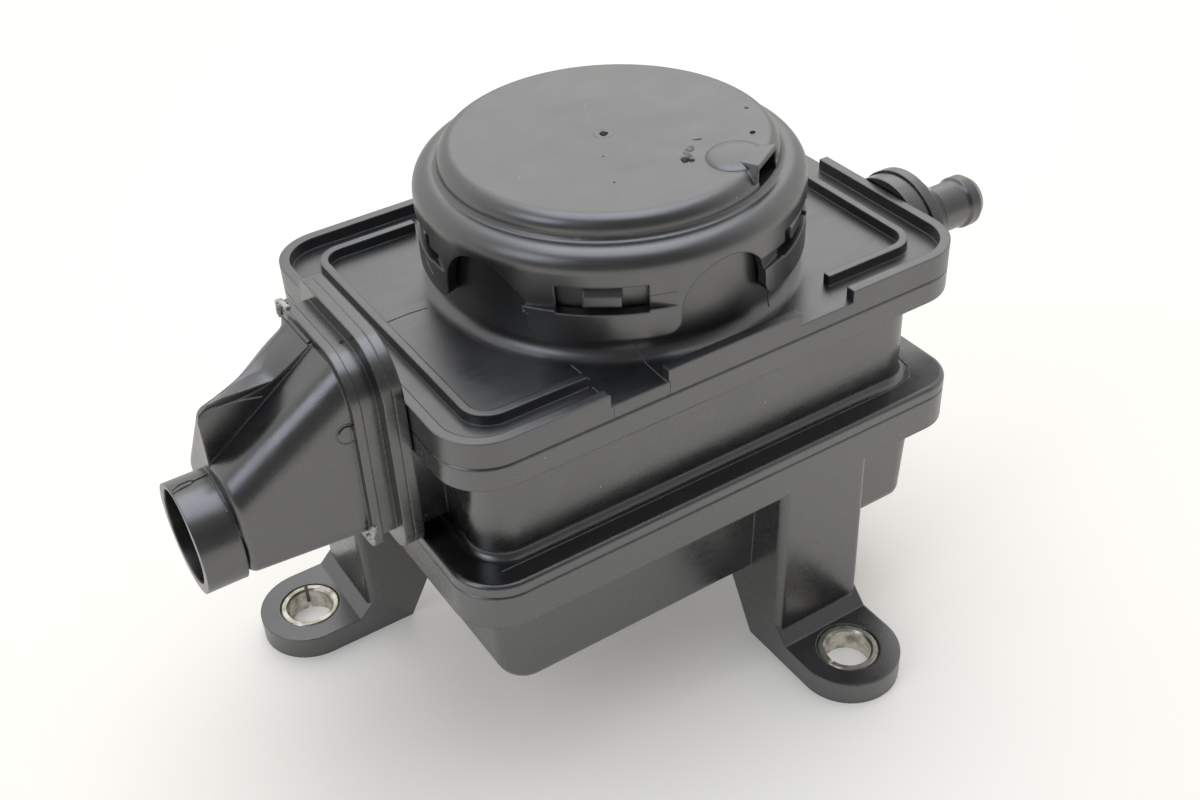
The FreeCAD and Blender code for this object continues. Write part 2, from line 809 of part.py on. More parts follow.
# gaps: two in the rim at the front and one at the right, and one in each long rib
gap_y = half_width + d.gap_cut
gap_in = rim_y - d.gap_lap
rib_gap_in = rib_in_y - d.gap_lap
rib_gap_out = rib_y + d.gap_lap
side_in = rim_x - d.gap_lap
side_out = half_length + d.gap_cut
for name, x0, x1, y0, y1 in (
    ("front_gap", d.front_gap_start, d.front_gap_end, -gap_y, -gap_in),
    ("second_gap", d.second_gap_start, d.second_gap_end, -gap_y, -gap_in),
    ("side_gap", side_in, side_out, d.side_gap_start, d.side_gap_end),
    ("front_rib_gap", d.front_gap_start, d.second_gap_end, -rib_gap_out, -rib_gap_in),
    ("back_rib_gap", d.front_gap_start, d.second_gap_end, rib_gap_in, rib_gap_out),
):
    sk = lay(cover, name, "XY_Plane", plate_top)
    polygon(sk, [(x0, y0), (x1, y0), (x1, y1), (x0, y1)])
    cut(cover, sk, d.rim_height, ahead=True)

sk = lay(cover, "collar_profile", "XZ_Plane")
polygon(sk, [
    (d.collar_bore, plate_top - d.cover_plate / 2),
    (d.collar_radius, plate_top - d.cover_plate / 2),
    (d.collar_radius, collar_top),
    (d.collar_bore, collar_top),
])
turn_round(cover, sk)


def collar_root(edge):
    curve = edge.Curve
    round_edge = hasattr(curve, "Radius") and near(curve.Radius, d.collar_radius.value)
    return round_edge and all(near(p.z, plate_top.value) for p in ends(edge))


smooth(cover, d.collar_flare, collar_root, "collar_root_flare")

sk = lay(cover, "seat_tube", "XY_Plane", plate_top)
circle(sk, 0, 0, d.seat_radius)
grow(cover, sk, d.seat_height)
sk = lay(cover, "seat_opening", "XY_Plane", plate_top + d.seat_height)
circle(sk, 0, 0, d.seat_bore)
cut(cover, sk, d.seat_height + d.cover_plate)
sk = lay(cover, "gas_port", "XY_Plane", plate_top)
circle(sk, d.port_circle, 0, d.port_radius)
port = cut(cover, sk, d.cover_plate)
ring(cover, port, gas_port_count)
lug_foot = plate_top + d.lug_bottom
lug_root = d.collar_radius - d.lug_reach
sk = lay(cover, "snap_lug", "XZ_Plane", turn=d.cap_turn)
polygon(sk, [
    (lug_root, lug_foot),
    (d.collar_radius + d.lug_reach, lug_foot),
    (d.collar_radius + d.lug_reach, lug_foot + d.lug_height / 2),
    (d.collar_radius + d.skirt_gap, lug_foot + d.lug_height),
    (lug_root, lug_foot + d.lug_height),
])
lug = cover.newObject("PartDesign::Pad", "snap_lug_pad")
lug.Profile = sk
bind(lug, "Length", d.lug_width)
lug.Midplane = True
doc.recompute()
ring(cover, lug, clip_count)

# cap: stepped disc, shoulder and skirt with five clip tabs
cap = make_body("diaphragm_cap", turn=d.cap_turn)
skirt_in = d.collar_radius + d.skirt_gap
skirt_out = skirt_in + d.skirt_wall
shoulder_in = collar_top + d.bead_thickness
shoulder_top = shoulder_in + d.shoulder_wall
disc_top = shoulder_top + d.disc_rise
skirt_foot = collar_top - d.skirt_below_rim
disc_in = d.disc_radius - d.disc_wall
sk = lay(cap, "cap_profile", "XZ_Plane")
polygon(sk, [
    (0, disc_top - d.disc_wall),
    (disc_in, disc_top - d.disc_wall),
    (disc_in, shoulder_in),
    (skirt_in, shoulder_in),
    (skirt_in, skirt_foot),
    (skirt_out, skirt_foot),
    (skirt_out, shoulder_top),
    (d.disc_radius, shoulder_top),
    (d.disc_radius, disc_top),
    (0, disc_top),
])
turn_round(cap, sk)


def rim_of(radius, level):
    def test(edge):
        curve = edge.Curve
        round_edge = hasattr(curve, "Radius") and near(curve.Radius, radius.value)
        return round_edge and all(near(p.z, level.value) for p in ends(edge))
    return test


smooth(cap, d.disc_round, rim_of(d.disc_radius, disc_top), "disc_edge_round")
smooth(cap, d.disc_root_round, rim_of(d.disc_radius, shoulder_top), "disc_root_round")
smooth(cap, d.shoulder_round, rim_of(skirt_out, shoulder_top), "shoulder_edge_round")
window_foot = skirt_foot + d.window_bottom
sk = lay(cap, "clip_window", "YZ_Plane", skirt_out + d.skirt_wall)
polygon(sk, [
    (-d.window_width / 2, window_foot),
    (d.window_width / 2, window_foot),
    (d.window_width / 2, window_foot + d.window_height),
    (-d.window_width / 2, window_foot + d.window_height),
])
window = cut(cap, sk, d.through_cut)
ring(cap, window, clip_count)

# ramps that run out from both ends of each window
half_window = d.window_width / 2
skirt_square = skirt_out * skirt_out
ramp_root = (skirt_square - half_window * half_window).root() - d.ramp_depth
ramp_out = skirt_out + d.skirt_wall
for name, side, length in (("long", -1, d.ramp_length), ("short", 1, d.short_ramp_length)):
    far_y = half_window + length
    far_x = (skirt_square - far_y * far_y).root() + d.ramp_run
    sk = lay(cap, name + "_ramp", "XY_Plane", window_foot + d.ramp_lift)
    polygon(sk, [
        (ramp_root, half_window * side),
        (ramp_out, half_window * side),
        (ramp_out, far_y * side),
        (far_x, far_y * side),
    ])
    ramp = cut(cap, sk, d.ramp_height, ahead=True)
    ring(cap, ramp, clip_count)

arch_axis = skirt_foot + d.arch_top - d.arch_radius
sk = lay(cap, "skirt_arch", "YZ_Plane", -skirt_out - d.skirt_wall)
circle(sk, 0, arch_axis, d.arch_radius)
arch = cut(cap, sk, d.through_cut, ahead=True)
ring(cap, arch, clip_count)
sk = lay(cap, "skirt_slot", "YZ_Plane", -skirt_out - d.skirt_wall)
polygon(sk, [
    (-d.arch_radius, skirt_foot - d.skirt_wall),
    (d.arch_radius, skirt_foot - d.skirt_wall),
    (d.arch_radius, arch_axis),
    (-d.arch_radius, arch_axis),
])
slot = cut(cap, sk, d.through_cut, ahead=True)
ring(cap, slot, clip_count)


def tab_corner(edge):
    if len(edge.Vertexes) != 2:
        return False
    a, b = ends(edge)
    low = near(a.z, skirt_foot.value) and near(b.z, skirt_foot.value)
    across = abs(edge.Length - d.skirt_wall.value) < d.skirt_gap.value
    return low and across


smooth(cap, d.tab_round, tab_corner, "tab_corner_rounds")

# vent scoop that widens to the edge of the disc and opens towards the outside
hood_low = disc_top - d.hood_root
hood_high = disc_top + d.hood_rise
half_nose = d.nose_width / 2
half_hood = d.hood_width / 2
sections = []
for name, reach, half, top, high in (
    ("scoop_nose", d.hood_start, half_nose, half_nose / 2, disc_top - d.nose_drop),
    ("scoop_tip", d.disc_radius - d.hood_inset, half_hood, half_hood - d.hood_rise, hood_high),
):
    sk = lay(cap, name, "YZ_Plane", reach * d.hood_turn.cosine(), turn=d.hood_turn)
    bind(sk, "AttachmentOffset.Base.x", reach * d.hood_turn.sine())
    polygon(sk, [(-half, hood_low), (half, hood_low), (top, high), (-top, high)])
    sections.append(sk)
skin(cap, *sections)
mouth_in = disc_in - d.disc_wall
mouth_out = d.disc_radius + d.disc_wall
mouth_high = hood_high - d.hood_lip
sk = lay(cap, "vent_mouth", "XZ_Plane", turn=d.hood_turn)
polygon(sk, [
    (mouth_in, mouth_high - d.mouth_depth),
    (mouth_out, mouth_high - d.mouth_depth),
    (mouth_out, mouth_high),
    (mouth_in, mouth_high),
])
mouth = cap.newObject("PartDesign::Pocket", "vent_mouth_cut")
mouth.Profile = sk
bind(mouth, "Length", d.mouth_width)
mouth.Midplane = True
doc.recompute()

# regulator: plate, rolling diaphragm and the spring round the valve seat
seat_top = plate_top + d.seat_height
disc_foot = seat_top + d.seat_margin + d.regulator_travel
disc_head = disc_foot + d.plate_thickness
plate = make_body("diaphragm_plate")
sk = lay(plate, "plate_profile", "XZ_Plane")
polygon(sk, [
    (0, disc_foot),
    (d.plate_radius, disc_foot),
    (d.plate_radius, disc_head),
    (d.hub_radius, disc_head),
    (d.hub_radius, disc_head + d.hub_rise),
    (0, disc_head + d.hub_rise),
])
turn_round(plate, sk)
rubber = make_body("diaphragm")
rubber_foot = disc_head + d.rubber_gap
bead_in = d.collar_radius - d.bead_width
bead_out = d.collar_radius - d.skirt_gap
sk = lay(rubber, "diaphragm_profile", "XZ_Plane")
hole = d.hub_radius + d.rubber_hole_gap
polygon(sk, [
    (hole, rubber_foot),
    (d.plate_radius, rubber_foot),
    (bead_in - d.bead_width, collar_top - d.rubber_thickness / 2),
    (bead_in - d.bead_width / 2, collar_top),
    (bead_out, collar_top),
    (bead_out, shoulder_in),
    (bead_in - d.bead_width, shoulder_in),
    (d.plate_radius - d.rubber_thickness / 2, rubber_foot + d.rubber_thickness),
    (hole, rubber_foot + d.rubber_thickness),
])
turn_round(rubber, sk)
spring = make_body("control_spring")
half_wire = d.spring_wire / 2
coil_foot = plate_top + d.spring_gap + half_wire
coil_rise = disc_foot - plate_top - d.spring_gap * 2 - d.spring_wire
sk = lay(spring, "spring_section", "XZ_Plane")
circle(sk, d.spring_radius, coil_foot, half_wire)
coil = spring.newObject("PartDesign::AdditiveHelix", "spring_coil")
coil.Profile = sk
coil.ReferenceAxis = (sk, ["V_Axis"])
coil.Mode = "height-turns-angle"
bind(coil, "Height", coil_rise)
bind(coil, "Turns", d.spring_turns)
doc.recompute()

# inlet frame: welding flange and the band that carries the duct
frame = make_body("inlet_frame")
sk = lay(frame, "frame_flange_outline", "YZ_Plane", -inlet_seam)
rounded(sk, inlet_from, inlet_to, d.inlet_bottom, d.inlet_top, inlet_corners)
grow(frame, sk, d.frame_flange, back=True)


def inset(sketch, step):
    """The inlet's outline, drawn in by a step."""
    corners = tuple(size - step / 2 for size in inlet_corners)
    low, high = d.inlet_bottom + step, d.inlet_top - step
    rounded(sketch, inlet_from + step, inlet_to - step, low, high, corners)


sk = lay(frame, "frame_band_outline", "YZ_Plane", -frame_front)
inset(sk, d.frame_step)
grow(frame, sk, d.frame_band, back=True)
duct_from = inlet_from + d.duct_step
duct_to = inlet_to - d.duct_step
duct_low = d.inlet_bottom + d.duct_foot
duct_high = d.inlet_top - d.duct_step
clear_from = duct_from + d.duct_wall
clear_to = duct_to - d.duct_wall
clear_low = duct_low + d.duct_wall
clear_high = duct_high - d.duct_wall
room_round = d.duct_corner - d.duct_wall
sk = lay(frame, "frame_opening", "YZ_Plane", -band_front)
rounded(sk, clear_from, clear_to, clear_low, clear_high, room_round)
cut(frame, sk, d.frame_flange + d.frame_band, ahead=True)

# inlet duct: lip, a front half with a falling roof, a crested rear half and the hose spigot
duct = make_body("inlet_duct")
front_high = duct_high - d.duct_parting
tip_from = d.inlet_y - d.duct_end_half_width
overlap_y = d.inlet_y + d.crest_overlap
wide = lay(duct, "front_root", "YZ_Plane", -duct_front)
polygon(wide, [
    (duct_from, duct_low),
    (overlap_y, duct_low),
    (overlap_y, front_high),
    (duct_from, front_high),
])
slim = lay(duct, "front_tip", "YZ_Plane", -duct_end)
polygon(slim, [
    (tip_from, duct_low),
    (overlap_y, duct_low),
    (overlap_y, d.duct_end_top),
    (tip_from, d.duct_end_top),
])
skin(duct, wide, slim)


def long_edge(level_root, level_tip):
    """The run along the front wall from the lip to the tip at the two heights."""
    def test(edge):
        if len(edge.Vertexes) != 2:
            return False
        a, b = sorted(ends(edge), key=lambda p: p.x)
        at_tip = near(a.x, -duct_end.value) and near(a.y, tip_from.value) and near(a.z, level_tip.value)
        at_root = near(b.x, -duct_front.value) and near(b.y, duct_from.value)
        return at_tip and at_root and near(b.z, level_root.value)
    return test


smooth(duct, d.duct_corner, long_edge(front_high, d.duct_end_top), "front_roof_round")
smooth(duct, d.duct_low_round, long_edge(duct_low, duct_low), "front_foot_round")


def tip_edge(edge):
    outside = all(p.y < d.inlet_y.value + slack or near(p.z, d.duct_end_top.value) for p in ends(edge))
    return outside and all(near(p.x, -duct_end.value) for p in ends(edge))


smooth(duct, d.duct_tip_round, tip_edge, "front_tip_round")


def crest(name, x, side, knee, ridge, ridge_top, top):
    """A section of the rear half: wall on the parting, side, sloping flank and roof."""
    sketch = lay(duct, name, "YZ_Plane", x)
    start = (d.inlet_y, duct_low)
    polygon(sketch, [start, (side, duct_low), (side, knee), (ridge, ridge_top), (d.inlet_y, top)])
    return sketch


crest_x = -duct_front - d.crest_start
mid_side = d.inlet_y + d.mid_side
mid_ridge = d.inlet_y + d.mid_ridge
tip_side = d.inlet_y + d.tip_side
tip_ridge = d.inlet_y + d.tip_ridge
tip_top = d.crest_top - d.tip_ridge_drop
root_knee = duct_high - d.crest_edge
root_ridge = duct_to - d.crest_edge
skin(
    duct,
    crest("crest_root", -duct_front, duct_to, root_knee, root_ridge, duct_high, duct_high),
    crest("crest_mid", crest_x, mid_side, d.mid_knee, mid_ridge, d.mid_ridge_top, d.crest_top),
    crest("crest_tip", -duct_end, tip_side, d.tip_knee, tip_ridge, tip_top, d.crest_top),
    ruled=False,
)


def crest_end(edge):
    points = ends(edge)
    at_tip = all(near(p.x, -duct_end.value) for p in points)
    high = max(p.z for p in points) > d.duct_end_top.value + slack
    return at_tip and high and not all(near(p.y, d.inlet_y.value) for p in points)


smooth(duct, d.crest_round, crest_end, "crest_end_round")
sk = lay(duct, "duct_lip_outline", "YZ_Plane", -band_front)
inset(sk, d.duct_lip_step)
grow(duct, sk, d.duct_lip, back=True)
sk = lay(duct, "spigot", "YZ_Plane", -spigot_end)
circle(sk, d.inlet_y, d.spigot_height, d.spigot_radius)
grow(duct, sk, d.spigot_length)
sk = lay(duct, "duct_lip_opening", "YZ_Plane", -band_front)
rounded(sk, clear_from, clear_to, clear_low, clear_high, room_round)
cut(duct, sk, d.duct_lip)
wide = lay(duct, "duct_room_root", "YZ_Plane", -duct_front)
rounded(wide, clear_from, clear_to, clear_low, clear_high - d.duct_wall, room_round)
slim = lay(duct, "duct_room_tip", "YZ_Plane", -duct_end + d.duct_wall)
room_from = tip_from + d.duct_wall
room_to = d.inlet_y + d.duct_end_half_width
room_top = d.duct_end_top - d.duct_wall
rounded(slim, room_from, room_to, clear_low, room_top, room_round)
skin(duct, wide, slim, kind="PartDesign::SubtractiveLoft")
sk = lay(duct, "spigot_opening", "YZ_Plane", -spigot_end)
circle(sk, d.inlet_y, d.spigot_height, d.spigot_bore)
cut(duct, sk, d.spigot_length - d.spigot_back, ahead=True)
sk = lay(duct, "spigot_throat", "YZ_Plane", -spigot_end)
circle(sk, d.inlet_y, d.spigot_height + d.throat_rise, d.throat_bore)
cut(duct, sk, d.spigot_length + d.duct_wall * 2, ahead=True)

# outlet nipple: spin-welded disc, cone, tube and rounded bead
nipple = make_body("outlet_nipple", boss_face, d.outlet_y, d.outlet_height)
sk = lay(nipple, "nipple_profile", "XZ_Plane")
tip = d.outlet_disc + d.outlet_cone + d.nipple_length
tube_start = d.outlet_disc + d.outlet_cone
bead_start = tip - d.nipple_bead_length
polygon(sk, [
    (0, d.nipple_bore),
    (0, d.outlet_disc_radius),
    (d.outlet_disc - d.nipple_bead, d.outlet_disc_radius),
    (d.outlet_disc, d.outlet_cone_radius),
    (tube_start, d.nipple_radius),
    (bead_start, d.nipple_radius),
    (bead_start + d.nipple_bead, d.nipple_radius + d.nipple_bead),
    (tip - d.nipple_nose, d.nipple_radius + d.nipple_bead),
    (tip, d.nipple_radius - d.nipple_bead),
    (tip, d.nipple_bore),
])
turned = nipple.newObject("PartDesign::Revolution", "nipple_turned")
turned.Profile = sk
turned.ReferenceAxis = (sk, ["H_Axis"])
turned.Angle = 360
doc.recompute()

doc.recompute()
for item in doc.Objects:
    if "Invalid" in item.State or "Error" in item.State:
        raise RuntimeError("%s is %s" % (item.Name, item.State))
os.makedirs("parts", exist_ok=True)
for body in bodies:
    shape = body.Shape
    if shape.isNull() or not shape.isValid() or len(shape.Solids) != 1:
        raise RuntimeError("%s has no single valid solid" % body.Label)
    box = shape.BoundBox
    size = [round(side, 2) for side in (box.XLength, box.YLength, box.ZLength)]
    print(body.Label, round(shape.Volume), size)
for body in bodies:
    body.Shape.exportStep("parts/%s.step" % body.Label)
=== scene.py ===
import math
import random

import bmesh
import bpy
from bpy.props import FloatProperty, FloatVectorProperty, PointerProperty
from mathutils import Matrix, Quaternion, Vector


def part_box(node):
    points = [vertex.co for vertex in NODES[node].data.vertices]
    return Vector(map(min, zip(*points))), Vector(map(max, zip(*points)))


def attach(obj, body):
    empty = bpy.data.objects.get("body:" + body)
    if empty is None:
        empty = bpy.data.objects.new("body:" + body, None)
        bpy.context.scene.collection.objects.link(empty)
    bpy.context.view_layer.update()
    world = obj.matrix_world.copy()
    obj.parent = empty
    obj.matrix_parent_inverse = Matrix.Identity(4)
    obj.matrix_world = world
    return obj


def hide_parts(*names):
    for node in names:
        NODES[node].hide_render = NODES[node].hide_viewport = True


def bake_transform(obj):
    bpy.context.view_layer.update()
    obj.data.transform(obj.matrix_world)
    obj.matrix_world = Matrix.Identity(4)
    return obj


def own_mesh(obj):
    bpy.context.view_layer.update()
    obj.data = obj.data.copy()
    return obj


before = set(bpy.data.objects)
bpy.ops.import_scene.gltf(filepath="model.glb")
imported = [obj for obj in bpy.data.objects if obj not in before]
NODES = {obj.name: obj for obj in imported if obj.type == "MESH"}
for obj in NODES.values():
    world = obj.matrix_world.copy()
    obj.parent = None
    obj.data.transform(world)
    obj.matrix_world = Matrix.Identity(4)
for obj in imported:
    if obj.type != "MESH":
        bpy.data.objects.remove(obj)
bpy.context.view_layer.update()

bl_info = {
    "name": "Crankcase oil separator",
    "version": (1, 0, 0),
    "blender": (4, 5, 0),
    "location": "3D View > Sidebar > Separator",
    "description": "Dresses a packed crankcase oil separator with moulded finishes and marks",
    "category": "Object",
}

MM = 0.001
# The cap, the collar and the regulator share this upright axis.
AXIS = (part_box("diaphragm_cap")[0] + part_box("diaphragm_cap")[1]) / 2
# Polyamide's own IOR is about 1.53; it is raised to give the photograph's strong reflections.
MOULDED_IOR = 2.25


def linear(text):
    """An sRGB hex value as linear red, green, blue and full alpha."""
    channels = [int(text[i:i + 2], 16) / 255 for i in (1, 3, 5)]
    return tuple(
        c / 12.92 if c <= 0.04045 else ((c + 0.055) / 1.055) ** 2.4 for c in channels
    ) + (1.0,)


def colour(name, description, text):
    return FloatVectorProperty(
        name=name, description=description, subtype="COLOR", size=4, min=0, max=1,
        default=linear(text),
    )


def length(name, description, millimetres):
    return FloatProperty(
        name=name, description=description, subtype="DISTANCE", unit="LENGTH",
        default=millimetres * MM, precision=5,
    )


def share(name, description, value):
    return FloatProperty(
        name=name, description=description, subtype="FACTOR", min=0, max=1, default=value)


class SeparatorFinish(bpy.types.PropertyGroup):
    """Colours and grain of the mouldings, the rubber and the steel."""

    casing_black: colour("Casing black", "Glass-filled polyamide of tray and box", "#151617")
    cover_black: colour("Cover black", "Glass-filled polyamide of the lid", "#141517")
    cap_black: colour("Cap black", "Polyamide of the regulator cap", "#161718")
    duct_black: colour("Duct black", "Polyamide of the inlet duct and its frame", "#151516")
    nipple_black: colour("Nipple black", "Polyamide of the outlet nipple", "#151618")
    bloom_grey: colour("Bloom grey", "Glass fibre and bloom at the surface", "#232426")
    rub_grey: colour("Rub grey", "Plastic rubbed pale along edges and scratches", "#6d6e70")
    dust_white: colour("Dust", "Dust and lint that lies on the mouldings", "#a9a9a6")
    # black of open parting lines and torn plastic, and also the painted shade laid in the duct's
    # crease and its ejector mark
    line_and_shade_black: colour("Line and shade black", "Open parting lines and torn plastic", "#0b0b0c")
    # the flash is black polyamide; this pale grey is a painted highlight where its thin edge
    # catches the light
    flash_highlight_grey: colour("Flash highlight grey", "Thin raised flash that catches the light", "#707174")
    weld_white: colour("Weld white", "Stress-whitened flash of the duct's weld", "#c9c8c1")
    zinc: colour("Zinc", "Plating of the bushes", "#d3cec2")
    zinc_dull: colour("Dull zinc", "Plating where it is worn and stained", "#958e82")
    rubber_black: colour("Rubber", "Diaphragm and drain valve", "#161616")
    rubber_bloom: colour("Rubber bloom", "Wax that comes out of the rubber", "#2b2b2a")
    plate_cream: colour("Plate cream", "Natural polyamide of the valve plate", "#c8c1ad")
    spring_grey: colour("Spring steel", "Drawn wire of the spring", "#a5a6a8")
    casing_rough: share("Casing roughness", "Roughness of tray and box", 0.27)
    cover_rough: share("Cover roughness", "Roughness of the lid", 0.35)
    cap_rough: share("Cap roughness", "Roughness of the cap", 0.32)
    duct_rough: share("Duct roughness", "Roughness of the duct", 0.28)
    grain: length("Grain", "Width of the mould's spark-eroded grain", 0.32)
    mottle: length("Mottle", "Width of the cloudy patches of bloom", 7.0)
    dust_pitch: length("Dust pitch", "Mean distance between specks of dust", 4.2)
    witness: length("Witness radius", "Radius of the faint gate ring on the cap", 13.7)


class SeparatorMarks(bpy.types.PropertyGroup):
    """Sizes of the parting lines, the weld flash and the knocks."""

    hair: length("Hair line", "Half width of a parting line", 0.1)
    ridge: length("Ridge", "Half width of a raised flash line", 0.15)
    seam: length("Seam flash", "Half width of the flash in the lid's weld", 0.2)
    weld: length("Weld flash", "Half width of the whitened flash of the duct", 0.42)
    step: length("Step", "Distance between the points of a laid line", 0.9)


class SeparatorStage(bpy.types.PropertyGroup):
    """Floor, lamps and camera."""

    floor: colour("Floor", "Pale table", "#f0ebe0")
    floor_glow: FloatProperty(
        name="Floor glow", description="Lift of the table towards white where it is seen",
        default=0.2, min=0, max=1)
    sky: colour("Room", "Pale room round the table", "#f6f6f4")
    window: colour("Window", "Cool light of the soft boxes at the left and overhead", "#e4ebfb")
    dark_front: share("Dark front", "Level of the room on the camera's side", 0.2)
    key_power: FloatProperty(
        name="Key lamp", description="Power of the soft box behind, in watts",
        default=1.2, unit="POWER")
    side_power: FloatProperty(
        name="Side lamp", description="Power of the soft box at the left, in watts",
        default=1.4, unit="POWER")
    top_power: FloatProperty(
        name="Top lamp", description="Power of the soft box overhead, in watts",
        default=4.7, unit="POWER")
    azimuth: FloatProperty(
        name="Azimuth", description="Camera's turn about the part",
        default=math.radians(-31.09), subtype="ANGLE")
    elevation: FloatProperty(
        name="Elevation", description="Camera's height above the table",
        default=math.radians(37.19), subtype="ANGLE")
    roll: FloatProperty(
        name="Roll", description="Camera's lean", default=math.radians(-3.06), subtype="ANGLE")
    distance: length("Distance", "From the camera to its target", 272.6)
    target: FloatVectorProperty(
        name="Target", description="Point that the camera looks at", subtype="TRANSLATION",
        unit="LENGTH", default=(0.00284, 0.00128, 0.0456))
    lens: FloatProperty(
        name="Lens", description="Focal length in millimetres on a 36 mm frame",
        default=43.84, unit="CAMERA")


def add_node(tree, kind, links=(), **settings):
    """Adds one shader node, with its settings, and its inputs from values or sockets."""
    made = tree.nodes.new(kind)
    for name, value in settings.items():
        setattr(made, name, value)
    for key, value in dict(links).items():
        if isinstance(value, bpy.types.NodeSocket):
            tree.links.new(value, made.inputs[key])
        else:
            made.inputs[key].default_value = value
    return made


def start_material(name):
    """An empty material with its tree, its shader and its Object coordinates."""
    material = bpy.data.materials.new(name)
    material.use_nodes = True
    tree = material.node_tree
    tree.nodes.clear()
    shader = add_node(tree, "ShaderNodeBsdfPrincipled")
    add_node(tree, "ShaderNodeOutputMaterial", {"Surface": shader.outputs["BSDF"]})
    place = add_node(tree, "ShaderNodeTexCoord").outputs["Object"]
    return material, tree, shader, place


